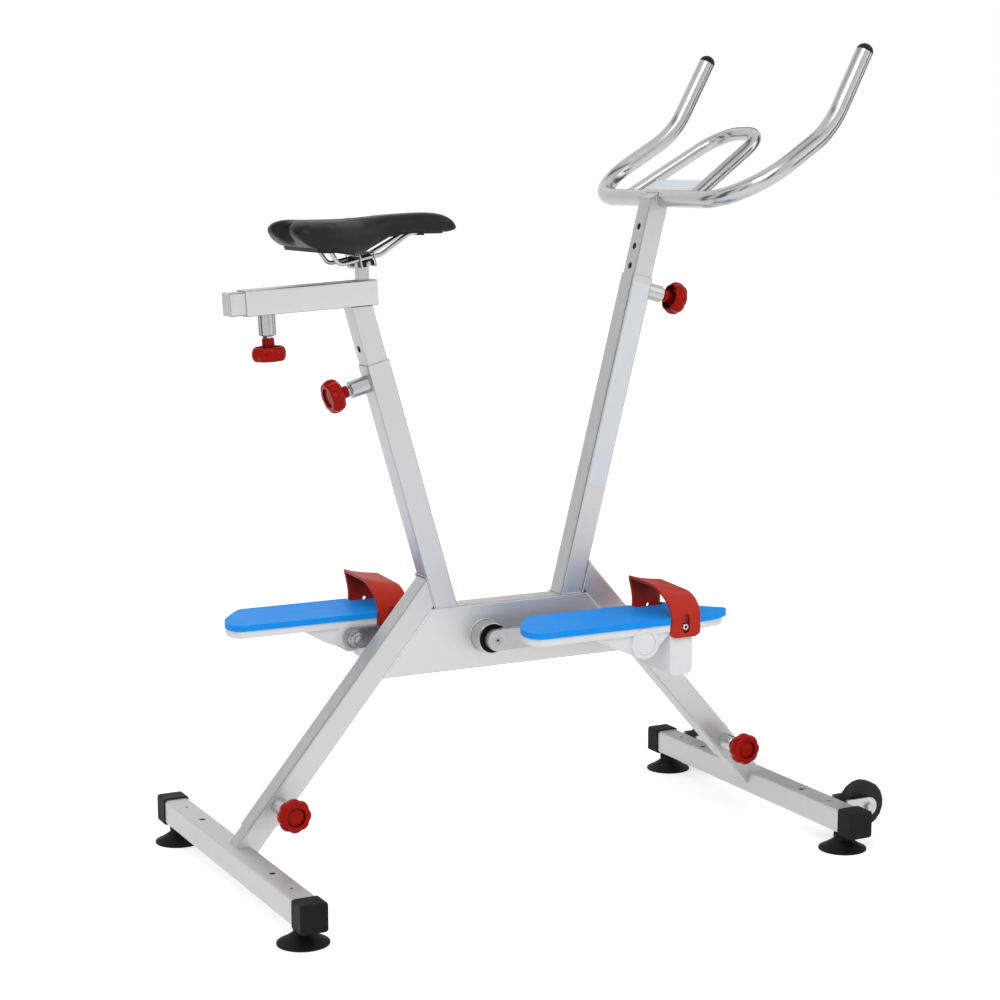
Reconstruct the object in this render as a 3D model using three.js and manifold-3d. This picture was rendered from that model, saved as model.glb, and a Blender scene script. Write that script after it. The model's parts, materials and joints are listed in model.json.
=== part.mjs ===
// An aqua bike: a stainless exercise bike that stands on the floor of a pool.
// Millimetres. X runs forward, Y to the rider's left and Z up from the floor.
import * as THREE from 'three';
import { mergeVertices } from 'three/addons/utils/BufferGeometryUtils.js';
import Module from 'manifold-3d';

const wasm = await Module();
wasm.setup();

// Driving dimensions: tubes, clearances and cuts
const tubeSide = 40;
const tubeWall = 2;
const tubeCorner = 4;
const gap = 0.3;
const overrun = 5;
const farReach = 3000;
const roundSegments = 18;
const smallSegments = 12;
const holeSegments = 8;
const arcSegments = 5;

// Driving dimensions: places in the bike's side view
const crankX = -51.5;
const crankHeight = 366.75;
const beamHeight = 106.5;
const seatTubeX = -104.1;
const seatTubeAngle = -16;
const seatTubeRise = 451.25;
const barTubeX = 96.4;
const barTubeAngle = 14.5;
const barTubeRise = 573.25;
const rearLegX = -213.3;
const rearLegAngle = 40;
const frontLegX = 210.1;
const frontLegAngle = -41;
const legTubeBottom = 98;

// Driving dimensions: feet
const footBarHeight = 50;
const feetSpan = 640;
const capLength = 34;
const capSection = { x: 44, z: 45 };
const capCorner = 4;
const capEndWall = 8;
const cupRadius = 39.5;
const cupFromEnd = 44.3;
const wheelRadius = 40;
const wheelFromEnd = 85;
const wheelAhead = 62;
const wheelHeight = 57;

// Driving dimensions: crank set and pedals
const crankLength = 196;
const housingRadius = 25.8;
const housingLength = 100;
const pedalFromMiddle = 137;
const pedalWidth = 130;

// Driving dimensions: seat
const seatBoxAngle = 3;
const seatBoxRise = 108.8;
const pillarAhead = 13.2;
const seatBoxAhead = 18.5;
const seatBoxBehind = 198.5;
const slideTubeBehind = 223.5;
const pivotRise = 45.2;
const saddleLength = 297;
const saddleHeight = 66;
const saddleNoseAhead = 162.5;
const saddleWingRise = 10;
const saddleHalfWidth = 77;

// Driving dimensions: handlebar
const barRadius = 14;
const loopRadius = 11;
const barRise = 126;
const barAhead = 6.8;

const beamTop = crankHeight + beamHeight / 2;
const seatTubeTop = crankHeight + seatTubeRise;
const barTubeTop = crankHeight + barTubeRise;
const seatBoxHeight = seatTubeTop + seatBoxRise;
const barHeight = barTubeTop + barRise;
const cupFromMiddle = feetSpan / 2 - cupFromEnd;
const wheelFromMiddle = feetSpan / 2 - wheelFromEnd;
const innerSide = tubeSide - 2 * tubeWall;
const insertSide = innerSide - 2 * gap;

// Directions of the bike's side view, and the line that each sloping tube follows
const sideways = new THREE.Vector3(0, 1, 0);
const upward = new THREE.Vector3(0, 0, 1);
const forward = new THREE.Vector3(1, 0, 0);
const downward = upward.clone().negate();

function leaning(degrees) {
  const angle = THREE.MathUtils.degToRad(degrees);
  return new THREE.Vector3(Math.sin(angle), 0, Math.cos(angle));
}

function slopedLine(x, lean) {
  return { origin: new THREE.Vector3(x, 0, crankHeight), direction: leaning(lean) };
}

function atHeight(line, height) {
  const run = (height - line.origin.z) / line.direction.z;
  return line.origin.clone().addScaledVector(line.direction, run);
}

const seatLine = slopedLine(seatTubeX, seatTubeAngle);
const barLine = slopedLine(barTubeX, barTubeAngle);
const rearLegLine = slopedLine(rearLegX, rearLegAngle);
const frontLegLine = slopedLine(frontLegX, frontLegAngle);
const barX = atHeight(barLine, barHeight).x + barAhead;
const pillarX = atHeight(seatLine, seatBoxHeight).x + pillarAhead;
const pivotHeight = seatBoxHeight + pivotRise;
const saddleNose = pillarX + saddleNoseAhead;
const saddleWingHeight = pivotHeight + saddleWingRise;

// The square direction to a line, on the side of the bike's front or rear
function squareTo(line, sign) {
  return new THREE.Vector3().crossVectors(sideways, line.direction).multiplyScalar(sign);
}

// A placement that turns a piece's own Z axis along a direction, from a point
function aimed(origin, direction, side = sideways) {
  const z = direction.clone().normalize();
  const y = side.clone().addScaledVector(z, -side.dot(z)).normalize();
  const x = new THREE.Vector3().crossVectors(y, z);
  return new THREE.Matrix4().makeBasis(x, y, z).setPosition(origin);
}

function placed(geometry, matrix) {
  return geometry.clone().applyMatrix4(matrix);
}

function moved(geometry, x, y, z) {
  return geometry.clone().translate(x, y, z);
}

// Joining and cutting closed meshes: a mesh without normals shares its vertices already
function toSolid(geometry) {
  const bare = geometry.clone();
  bare.deleteAttribute('normal');
  bare.deleteAttribute('uv');
  const merged = geometry.attributes.normal ? mergeVertices(bare) : bare;
  return new wasm.Manifold(new wasm.Mesh({
    numProp: 3,
    vertProperties: new Float32Array(merged.attributes.position.array),
    triVerts: new Uint32Array(merged.index.array),
  }));
}

function toGeometry(solid) {
  const mesh = solid.getMesh();
  const geometry = new THREE.BufferGeometry();
  geometry.setAttribute('position', new THREE.BufferAttribute(mesh.vertProperties, 3));
  geometry.setIndex(new THREE.BufferAttribute(mesh.triVerts, 1));
  return geometry;
}

function joined(...pieces) {
  return toGeometry(pieces.map(toSolid).reduce((all, one) => all.add(one)));
}

function common(one, other) {
  return toGeometry(toSolid(one).intersect(toSolid(other)));
}

function cut(piece, ...tools) {
  return toGeometry(tools.map(toSolid).reduce((rest, tool) => rest.subtract(tool), toSolid(piece)));
}

// Everything past a plane, as a cutting block
function beyond(point, normal) {
  const side = Math.abs(normal.y) > Math.abs(normal.x) ? forward : sideways;
  const block = new THREE.BoxGeometry(farReach, farReach, farReach).translate(0, 0, farReach / 2);
  return placed(block, aimed(point, normal, side));
}

// A rectangle with round corners, centred on the origin
function roundedRectangle(width, height, radius) {
  const shape = new THREE.Shape();
  const x = width / 2 - radius;
  const y = height / 2 - radius;
  shape.absarc(x, y, radius, 0, Math.PI / 2);
  shape.absarc(-x, y, radius, Math.PI / 2, Math.PI);
  shape.absarc(-x, -y, radius, Math.PI, Math.PI * 1.5);
  shape.absarc(x, -y, radius, Math.PI * 1.5, Math.PI * 2);
  return shape;
}

const cornerSteps = 1;

function extruded(shape, length, curveSegments = cornerSteps) {
  return new THREE.ExtrudeGeometry(shape, { depth: length, bevelEnabled: false, curveSegments });
}

function squareBar(side, corner, from, to) {
  return extruded(roundedRectangle(side, side, corner), to - from).translate(0, 0, from);
}

// A square tube along its own Z axis
function squareTube(side, wall, corner, from, to) {
  const inside = squareBar(side - 2 * wall, corner - wall, from - overrun, to + overrun);
  return cut(squareBar(side, corner, from, to), inside);
}

// A round piece about its own Z axis, from pairs of radius and height that start and end on the axis
function turned(profile, segments = roundSegments) {
  const points = profile.map(([radius, height]) => new THREE.Vector2(radius, height));
  return new THREE.LatheGeometry(points, segments).rotateX(Math.PI / 2);
}

function rod(radius, from, to, segments = roundSegments) {
  return turned([[0, from], [radius, from], [radius, to], [0, to]], segments);
}

function ring(outer, inner, from, to, segments = roundSegments) {
  return turned([[inner, from], [outer, from], [outer, to], [inner, to], [inner, from]], segments);
}

function hexagon(acrossFlats, from, to) {
  return rod(acrossFlats / Math.sqrt(3), from, to, 6);
}

// A side-view outline, made solid between two places across the bike
function sideProfile(shape, from, to, curveSegments = cornerSteps) {
  return extruded(shape, to - from, curveSegments).rotateX(Math.PI / 2).translate(0, to, 0);
}

// A round piece laid along the bike's Y axis, its own Z axis pointing to the given side
function sidewaysPiece(geometry, x, z, side = 1) {
  const origin = new THREE.Vector3(x, 0, z);
  return placed(geometry, aimed(origin, sideways.clone().multiplyScalar(side), upward));
}

// A bent tube's path: straight runs with an arc at each inner corner
class BentPath extends THREE.Curve {
  constructor(stations) {
    super();
    this.stations = stations;
  }

  getPoint(t, target = new THREE.Vector3()) {
    const place = t * (this.stations.length - 1);
    const from = Math.min(Math.floor(place), this.stations.length - 2);
    return target.lerpVectors(this.stations[from], this.stations[from + 1], place - from);
  }

  getPointAt(u, target) {
    return this.getPoint(u, target);
  }

  getTangentAt(u, target = new THREE.Vector3()) {
    const place = Math.round(u * (this.stations.length - 1));
    const here = this.stations[place];
    const before = this.stations[place - 1] ?? here;
    const after = this.stations[place + 1] ?? here;
    const arriving = here.clone().sub(before).normalize();
    const leaving = after.clone().sub(here).normalize();
    return target.addVectors(arriving, leaving).normalize();
  }

  getSpacedPoints(divisions) {
    return this.getPoints(divisions);
  }
}

function bend(before, corner, after, radius, steps) {
  const arriving = corner.clone().sub(before).normalize();
  const leaving = after.clone().sub(corner).normalize();
  const turn = arriving.angleTo(leaving);
  const inward = leaving.clone().sub(arriving).normalize();
  const centre = corner.clone().addScaledVector(inward, radius / Math.cos(turn / 2));
  return Array.from({ length: steps + 1 }, (_, step) => {
    const angle = turn * (step / steps - 0.5);
    const along = arriving.clone().add(leaving).normalize();
    return centre.clone()
      .addScaledVector(inward, -radius * Math.cos(angle))
      .addScaledVector(along, radius * Math.sin(angle));
  });
}

function bentPath(corners, radii, steps) {
  const stations = [corners[0]];
  for (let i = 1; i < corners.length - 1; i += 1) {
    stations.push(...bend(corners[i - 1], corners[i], corners[i + 1], radii[i - 1], steps));
  }
  stations.push(corners[corners.length - 1]);
  return new BentPath(stations);
}

function swept(path, radius, sides, wall = 0) {
  const shape = new THREE.Shape().absarc(0, 0, radius, 0, Math.PI * 2);
  if (wall > 0) {
    shape.holes.push(new THREE.Path().absarc(0, 0, radius - wall, 0, Math.PI * 2, true));
  }
  return new THREE.ExtrudeGeometry(shape, {
    steps: path.stations.length - 1,
    curveSegments: sides / 2,
    extrudePath: path,
  });
}

// Materials
function material(color, roughness, metalness) {
  return new THREE.MeshStandardMaterial({ color, roughness, metalness });
}

const satinSteel = () => material(0xc9cbcd, 0.35, 1);
const polishedSteel = () => material(0xdcdddf, 0.12, 1);
const blackRubber = () => material(0x1b1b1d, 0.8, 0);
const blackPlastic = () => material(0x141416, 0.5, 0);
const redKnobPlastic = () => material(0xc81408, 0.35, 0);
const redStrapRubber = () => material(0xb23320, 0.6, 0);
const bluePad = () => material(0x148cf0, 0.5, 0);
const whitePlastic = () => material(0xe9ebec, 0.5, 0);
const saddleCover = () => material(0x17181a, 0.55, 0);
const labelFoil = () => material(0xd5dde4, 0.4, 0.2);

const bike = new THREE.Group();

function addPart(name, geometry, look, parent = bike) {
  const mesh = new THREE.Mesh(geometry, look);
  mesh.name = name;
  parent.add(mesh);
  return mesh;
}

// Clamp knobs: a lobed head with a stud that presses on the inner tube
const knob = {
  bossRadius: 13.5,
  bossLength: 32,
  bossChamfer: 3,
  boreRadius: 5.3,
  studRadius: 5,
  nutRadius: 8,
  nutLength: 4,
  neckRadius: 9.5,
  neckLength: 13,
  headRadius: 25,
  headLength: 21,
  rimRound: 7,
  rimSteps: 4,
  dishRadius: 15,
  dishDepth: 4,
  lobes: 8,
  lobeDepth: 1.3,
};

function clampBoss() {
  const { bossRadius, bossLength, bossChamfer } = knob;
  return turned([
    [0, -tubeWall / 2],
    [bossRadius, -tubeWall / 2],
    [bossRadius, bossLength - bossChamfer],
    [bossRadius - bossChamfer, bossLength],
    [0, bossLength],
  ]);
}

function clampBore() {
  return rod(knob.boreRadius, -tubeWall - overrun, knob.bossLength + overrun);
}

function knobProfile() {
  const headStart = knob.bossLength + gap + knob.nutLength + knob.neckLength;
  const headEnd = headStart + knob.headLength;
  const nutStart = knob.bossLength + gap;
  const nutEnd = nutStart + knob.nutLength;
  const rimCentre = knob.headRadius - knob.rimRound;
  const rim = Array.from({ length: knob.rimSteps + 1 }, (_, step) => {
    const angle = Math.PI * (step / knob.rimSteps - 0.5);
    return [
      rimCentre + knob.rimRound * Math.cos(angle),
      (headStart + headEnd) / 2 + (knob.headLength / 2) * Math.sin(angle),
    ];
  });
  return [
    [0, -tubeWall],
    [knob.studRadius, -tubeWall],
    [knob.studRadius, nutStart],
    [knob.nutRadius, nutStart],
    [knob.nutRadius, nutEnd],
    [knob.neckRadius, nutEnd],
    [knob.neckRadius, headStart],
    ...rim,
    [knob.dishRadius, headEnd - knob.dishDepth],
    [0, headEnd - knob.dishDepth],
  ];
}

function knobGeometry() {
  const geometry = turned(knobProfile(), knob.lobes * 2);
  const place = geometry.attributes.position;
  const rimStart = knob.neckRadius + knob.lobeDepth;
  for (let i = 0; i < place.count; i += 1) {
    const radius = Math.hypot(place.getX(i), place.getY(i));
    const share = THREE.MathUtils.smoothstep(radius, rimStart, knob.headRadius);
    const wave = (1 - Math.cos(knob.lobes * Math.atan2(place.getY(i), place.getX(i)))) / 2;
    const scale = 1 - (share * wave * knob.lobeDepth) / knob.headRadius;
    place.setX(i, place.getX(i) * scale);
    place.setY(i, place.getY(i) * scale);
  }
  return geometry;
}

// Where each clamp stands: on a tube face, at a height, square to the face
const clampFrom = {
  seatTubeTop: 34,
  barTubeTop: 25,
  rearLegEnd: 31.5,
  frontLegEnd: 33,
  pillar: 160.5,
};

function faceClamp(line, height, sign) {
  const outward = squareTo(line, sign);
  const origin = line.origin.clone().addScaledVector(outward, tubeSide / 2);
  return aimed(atHeight({ origin, direction: line.direction }, height), outward);
}

function sideClamp(line, height) {
  const outward = sideways.clone().negate();
  return aimed(atHeight(line, height).addScaledVector(outward, tubeSide / 2), outward, upward);
}

const seatBoxLine = {
  origin: new THREE.Vector3(pillarX, 0, seatBoxHeight),
  direction: leaning(90 - seatBoxAngle),
};

function alongSeatBox(x) {
  const run = (x - seatBoxLine.origin.x) / seatBoxLine.direction.x;
  return seatBoxLine.origin.clone().addScaledVector(seatBoxLine.direction, run);
}

const seatBoxDown = squareTo(seatBoxLine, 1);
const clampPlaces = {
  seat_tube_knob: faceClamp(seatLine, seatTubeTop - clampFrom.seatTubeTop, -1),
  handlebar_tube_knob: faceClamp(barLine, barTubeTop - clampFrom.barTubeTop, 1),
  rear_leg_knob: sideClamp(rearLegLine, legTubeBottom + clampFrom.rearLegEnd),
  front_leg_knob: sideClamp(frontLegLine, legTubeBottom + clampFrom.frontLegEnd),
  seat_slide_knob: aimed(
    alongSeatBox(pillarX - clampFrom.pillar).addScaledVector(seatBoxDown, tubeSide / 2),
    seatBoxDown,
  ),
};

function addKnobs() {
  for (const [name, matrix] of Object.entries(clampPlaces)) {
    addPart(name, placed(knobGeometry(), matrix), redKnobPlastic());
  }
}

// A tube with the welded boss of its clamp
function withClamp(tube, matrix) {
  return cut(joined(tube, placed(clampBoss(), matrix)), placed(clampBore(), matrix));
}

// Main frame
function tubeAlong(line, side, wall, corner) {
  return placed(
    squareTube(side, wall, corner, -farReach / 2, farReach / 2),
    aimed(line.origin, line.direction),
  );
}

// Everything behind a tube's front or rear face, and the seam's gap outside it
function behindFace(line, sign) {
  const outward = squareTo(line, sign);
  const face = line.origin.clone().addScaledVector(outward, tubeSide / 2 + gap);
  return beyond(face, outward.negate());
}

function crossBeam() {
  const section = roundedRectangle(beamHeight, tubeSide, tubeCorner);
  const hollow = roundedRectangle(beamHeight - 2 * tubeWall, innerSide, tubeCorner - tubeWall);
  const length = farReach / 2;
  const along = aimed(new THREE.Vector3(-length / 2, 0, crankHeight), forward);
  return cut(
    placed(extruded(section, length), along),
    placed(moved(extruded(hollow, length + 2 * overrun), 0, 0, -overrun), along),
    behindFace(rearLegLine, 1),
    behindFace(frontLegLine, -1),
    sidewaysPiece(rod(housingRadius + gap, -tubeSide, tubeSide), crankX, crankHeight),
  );
}

// A tube that stands on the beam, with its top cut square
function uprightTube(line, top, clamp) {
  const tube = cut(
    tubeAlong(line, tubeSide, tubeWall, tubeCorner),
    beyond(new THREE.Vector3(0, 0, beamTop + gap), downward),
    beyond(atHeight(line, top), line.direction),
  );
  return withClamp(tube, clamp);
}

// A leg from the upright's outer face down to the telescoping foot
function legTube(line, upright, sign, clamp) {
  const tube = cut(
    tubeAlong(line, tubeSide, tubeWall, tubeCorner),
    behindFace(upright, sign),
    beyond(new THREE.Vector3(0, 0, legTubeBottom), downward),
  );
  return withClamp(tube, clamp);
}

function addFrame() {
  addPart('cross_beam', crossBeam(), satinSteel());
  addPart('seat_tube', uprightTube(seatLine, seatTubeTop, clampPlaces.seat_tube_knob), satinSteel());
  addPart(
    'handlebar_tube',
    uprightTube(barLine, barTubeTop, clampPlaces.handlebar_tube_knob),
    satinSteel(),
  );
  addPart(
    'rear_leg_tube',
    legTube(rearLegLine, seatLine, -1, clampPlaces.rear_leg_knob),
    satinSteel(),
  );
  addPart(
    'front_leg_tube',
    legTube(frontLegLine, barLine, 1, clampPlaces.front_leg_knob),
    satinSteel(),
  );
}

// Feet: a bar across the floor with the inner tube of its leg welded on
const insertBelowCrank = 60;
const slot = { fromEnd: 163, x: 10, y: 4 };
const drainHole = { fromEnd: 86, radius: 2 };
const cup = {
  lipHeight: 3,
  skirtThickness: 3,
  neckRadius: 14,
  neckStart: 17,
  washerRadius: 9.5,
  studRadius: 4,
  studLength: 12,
};
const wheel = {
  width: 24,
  rimRound: 4,
  hubRadius: 11,
  hubWidth: 37,
  boreRadius: 4.3,
  plateThickness: 4,
  plateRadius: 16,
  boltRadius: 4,
  boltHeadAcross: 13,
  boltHeadLength: 6,
};
const footTubeLength = feetSpan - 2 * (capEndWall + gap);

function footBar(x) {
  const along = aimed(new THREE.Vector3(x, 0, footBarHeight), sideways, upward);
  const tube = squareTube(tubeSide, tubeWall, tubeCorner, -footTubeLength / 2, footTubeLength / 2);
  const tools = [];
  for (const side of [-1, 1]) {
    const top = footBarHeight + tubeSide / 2;
    const bottom = footBarHeight - tubeSide / 2;
    tools.push(moved(
      new THREE.BoxGeometry(slot.x, slot.y, 2 * tubeCorner),
      x,
      side * (feetSpan / 2 - slot.fromEnd),
      top,
    ));
    tools.push(moved(
      rod(drainHole.radius, -tubeCorner, tubeCorner, holeSegments),
      x,
      side * (feetSpan / 2 - drainHole.fromEnd),
      top,
    ));
    tools.push(moved(
      rod(cup.studRadius + gap, -tubeCorner, tubeCorner, smallSegments),
      x,
      side * cupFromMiddle,
      bottom,
    ));
  }
  return cut(placed(tube, along), ...tools);
}

function footWithInsert(line) {
  const x = atHeight(line, footBarHeight).x;
  const foot = atHeight(line, footBarHeight);
  const insertLength = foot.distanceTo(line.origin) - insertBelowCrank;
  const insert = placed(
    squareTube(insertSide, tubeWall, tubeCorner - tubeWall, 0, insertLength),
    aimed(foot, line.direction),
  );
  const barCore = placed(
    squareBar(tubeSide - tubeWall, tubeCorner, -footTubeLength / 2, footTubeLength / 2),
    aimed(new THREE.Vector3(x, 0, footBarHeight), sideways, upward),
  );
  return joined(footBar(x), cut(insert, barCore));
}

// The two plates that hold a wheel ahead of the front bar
function wheelBracket(x, side) {
  const { plateThickness, plateRadius, hubWidth, boreRadius } = wheel;
  const axleX = x + wheelAhead;
  const root = x + tubeSide / 2 - tubeWall / 2;
  const shape = new THREE.Shape();
  shape.moveTo(root, wheelHeight - plateRadius);
  shape.lineTo(axleX, wheelHeight - plateRadius);
  shape.absarc(axleX, wheelHeight, plateRadius, -Math.PI / 2, Math.PI / 2);
  shape.lineTo(root, wheelHeight + plateRadius);
  shape.holes.push(new THREE.Path().absarc(axleX, wheelHeight, boreRadius, 0, Math.PI * 2, true));
  const plate = extruded(shape, plateThickness, arcSegments).rotateX(Math.PI / 2);
  const inner = hubWidth / 2 + gap;
  const middle = side * wheelFromMiddle;
  return [
    moved(plate, 0, middle - inner, 0),
    moved(plate, 0, middle + inner + plateThickness, 0),
  ];
}

function endCap(x, side) {
  const shell = extruded(roundedRectangle(capSection.x, capSection.z, capCorner), capLength);
  const pocketSide = tubeSide + 2 * gap;
  const pocketLength = capLength - capEndWall + overrun;
  const pocket = extruded(roundedRectangle(pocketSide, pocketSide, tubeCorner), pocketLength);
  const outward = sideways.clone().multiplyScalar(side);
  const start = new THREE.Vector3(x, side * (feetSpan / 2 - capLength), footBarHeight);
  return placed(cut(shell, moved(pocket, 0, 0, -overrun)), aimed(start, outward, upward));
}

function suctionCup(x, side) {
  const seat = footBarHeight - tubeSide / 2 - gap;
  const shoulder = footBarHeight - capSection.z / 2 - gap;
  const { lipHeight, skirtThickness, neckRadius, neckStart, washerRadius, studRadius } = cup;
  const profile = [
    [0, neckStart - skirtThickness],
    [neckRadius, neckStart - skirtThickness],
    [cupRadius - skirtThickness, lipHeight],
    [cupRadius - skirtThickness / 2, 0],
    [cupRadius, 0],
    [cupRadius, lipHeight],
    [neckRadius + skirtThickness, neckStart],
    [neckRadius, neckStart + skirtThickness],
    [neckRadius, shoulder],
    [washerRadius, shoulder],
    [washerRadius, seat],
    [studRadius, seat],
    [studRadius, seat + cup.studLength],
    [0, seat + cup.studLength],
  ];
  return moved(turned(profile), x, side * cupFromMiddle, 0);
}

function transportWheel() {
  const { width, rimRound, hubRadius, hubWidth, boreRadius } = wheel;
  return turned([
    [boreRadius, -hubWidth / 2],
    [hubRadius, -hubWidth / 2],
    [hubRadius, -width / 2],
    [wheelRadius - rimRound, -width / 2],
    [wheelRadius, rimRound - width / 2],
    [wheelRadius, width / 2 - rimRound],
    [wheelRadius - rimRound, width / 2],
    [hubRadius, width / 2],
    [hubRadius, hubWidth / 2],
    [boreRadius, hubWidth / 2],
    [boreRadius, -hubWidth / 2],
  ]);
}

function wheelBolt() {
  const { hubWidth, plateThickness, boltRadius, boltHeadAcross, boltHeadLength } = wheel;
  const face = hubWidth / 2 + gap + plateThickness + gap;
  return joined(
    rod(boltRadius, -face - boltHeadLength / 2, face + boltHeadLength / 2, smallSegments),
    hexagon(boltHeadAcross, face, face + boltHeadLength),
    hexagon(boltHeadAcross, -face - boltHeadLength, -face),
  );
}

const sideNames = [['right', -1], ['left', 1]];

function addFeet() {
  const rearX = atHeight(rearLegLine, footBarHeight).x;
  const frontX = atHeight(frontLegLine, footBarHeight).x;
  addPart('rear_foot', footWithInsert(rearLegLine), satinSteel());
  const brackets = sideNames.flatMap(([, side]) => wheelBracket(frontX, side));
  addPart('front_foot', joined(footWithInsert(frontLegLine), ...brackets), satinSteel());
  for (const [end, x] of [['rear', rearX], ['front', frontX]]) {
    for (const [name, side] of sideNames) {
      addPart(`${end}_${name}_cap`, endCap(x, side), blackRubber());
      addPart(`${end}_${name}_suction_cup`, suctionCup(x, side), blackRubber());
    }
  }
  for (const [name, side] of sideNames) {
    const turnedSideways = (piece) => moved(
      sidewaysPiece(piece, frontX + wheelAhead, wheelHeight),
      0,
      side * wheelFromMiddle,
      0,
    );
    addPart(`${name}_wheel`, turnedSideways(transportWheel()), blackRubber());
    addPart(`${name}_wheel_bolt`, turnedSideways(wheelBolt()), polishedSteel());
  }
}

// Bottom bracket: housing, bearings, seals, axle and cranks
const bracket = {
  axleRadius: 10,
  bearingRadius: 20,
  bearingWidth: 14,
  sealRadius: 23,
  sealWidth: 4,
  throatRadius: 17,
  squareSide: 14,
  squareCorner: 2,
};
const crank = {
  inner: 54,
  outer: 66,
  height: 34,
  bossRadius: 17.7,
  bossOuter: 69,
  boltHeadRadius: 8,
  boltHeadLength: 3,
  boltRadius: 4,
  boltLength: 20,
  socketEnd: 63,
};

function bearingHousing() {
  const half = housingLength / 2;
  const seatStart = half - bracket.sealWidth - bracket.bearingWidth - 2 * gap;
  const sealSeat = half - bracket.sealWidth - gap;
  return turned([
    [bracket.throatRadius, -seatStart],
    [bracket.bearingRadius + gap, -seatStart],
    [bracket.bearingRadius + gap, -sealSeat],
    [bracket.sealRadius + gap, -sealSeat],
    [bracket.sealRadius + gap, -half],
    [housingRadius, -half],
    [housingRadius, half],
    [bracket.sealRadius + gap, half],
    [bracket.sealRadius + gap, sealSeat],
    [bracket.bearingRadius + gap, sealSeat],
    [bracket.bearingRadius + gap, seatStart],
    [bracket.throatRadius, seatStart],
    [bracket.throatRadius, -seatStart],
  ]);
}

function addBottomBracket() {
  const half = housingLength / 2;
  const inAxle = (piece, side = 1) => sidewaysPiece(piece, crankX, crankHeight, side);
  addPart('bearing_housing', inAxle(bearingHousing()), polishedSteel());
  for (const [name, side] of sideNames) {
    const sealStart = half - bracket.sealWidth;
    const bearingEnd = sealStart - 2 * gap;
    addPart(
      `${name}_bearing`,
      inAxle(ring(
        bracket.bearingRadius,
        bracket.axleRadius + gap,
        bearingEnd - bracket.bearingWidth + gap,
        bearingEnd,
      ), side),
      polishedSteel(),
    );
    addPart(
      `${name}_shaft_seal`,
      inAxle(ring(bracket.sealRadius, bracket.axleRadius + gap, sealStart, half + gap), side),
      blackRubber(),
    );
  }
  addPart('crank_axle', inAxle(crankAxle()), polishedSteel());
}

function crankAxle() {
  const shoulder = crank.inner - gap;
  const end = crank.socketEnd - gap;
  const square = extruded(
    roundedRectangle(bracket.squareSide, bracket.squareSide, bracket.squareCorner),
    2 * end,
  ).translate(0, 0, -end);
  const thread = rod(crank.boltRadius + gap, end - crank.boltLength, end + overrun, smallSegments);
  return cut(
    joined(square, rod(bracket.axleRadius, -shoulder, shoulder)),
    thread,
    thread.clone().rotateX(Math.PI),
  );
}

// One crank, from the axle's square to the pedal eye, along its own X axis
function crankArm() {
  const half = crank.height / 2;
  const arm = new THREE.Shape();
  arm.absarc(0, 0, half, Math.PI / 2, Math.PI * 1.5);
  arm.absarc(crankLength, 0, half, -Math.PI / 2, Math.PI / 2);
  const blade = extruded(arm, crank.outer - crank.inner, arcSegments).translate(0, 0, crank.inner);
  const socketSide = bracket.squareSide + 2 * gap;
  const socket = extruded(
    roundedRectangle(socketSide, socketSide, bracket.squareCorner),
    crank.socketEnd - crank.inner + overrun,
  ).translate(0, 0, crank.inner - overrun);
  const boltHead = crank.bossOuter - crank.boltHeadLength;
  const eyeRadius = spindle.radius + gap;
  const eye = rod(eyeRadius, crank.inner - overrun, crank.outer + overrun, smallSegments);
  return cut(
    joined(blade, rod(crank.bossRadius, crank.inner, crank.bossOuter)),
    socket,
    rod(crank.boltRadius + gap, crank.inner, crank.bossOuter + overrun, smallSegments),
    rod(crank.boltHeadRadius + gap, boltHead, crank.bossOuter + overrun),
    moved(eye, crankLength, 0, 0),
  );
}

function crankBolt() {
  const head = crank.bossOuter - crank.boltHeadLength + gap;
  const tip = crank.socketEnd - crank.boltLength + gap;
  return turned([
    [0, tip],
    [crank.boltRadius, tip],
    [crank.boltRadius, head],
    [crank.boltHeadRadius, head],
    [crank.boltHeadRadius, head + crank.boltHeadLength],
    [crank.boltHeadRadius / 3, head + crank.boltHeadLength],
    [crank.boltHeadRadius / 3, head + gap],
    [0, head + gap],
  ], smallSegments);
}

// Pedals: spindle, body with a fin that keeps it level, foot pad, strap and hub cap
const spindle = {
  radius: 8,
  nutAcross: 22,
  nutLength: 10,
  washerRadius: 14,
  washerThickness: 3,
  collarRadius: 13,
  endNutAcross: 20,
  endNutLength: 8,
};
const pedal = {
  reach: 202,
  padTop: 35.5,
  padThickness: 9.5,
  plateThickness: 11,
  plateInset: 2,
  hubRadius: 25,
  capRadius: 18,
  capThickness: 4,
  notchDepth: 18,
};
const strap = {
  start: 47,
  end: 102,
  thickness: 5,
  top: 82.5,
  bottom: 3.25,
  largeRadius: 35,
  smallRadius: 8,
  halfWidth: 65,
  holeX: 79,
  holeHeight: 34,
  holeRadius: 3.5,
  slotX: 75,
  slotWidth: 13,
  slotBottom: 10,
  slotTop: 41,
  slotRoundShare: 0.49,
  arcSteps: 5,
  screwRadius: 5,
  screwHeight: 20,
};
const fin = { start: 48, end: 90, depth: 58.75, corner: 9, length: 100 };

// The foot pad seen from above, as shares of its reach and half width: straight sides, then its ends
const padSideShares = [[0.7, 1], [-0.7, 1]];
const padHeelShares = [
  [-0.76, 0.83], [-0.91, 0.2], [-0.97, -0.15], [-1, -0.5], [-0.99, -0.78], [-0.935, -1],
];
const padToeShares = [[0.545, -1], [0.71, -0.9], [0.81, -0.6], [0.81, 0.5]];

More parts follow.
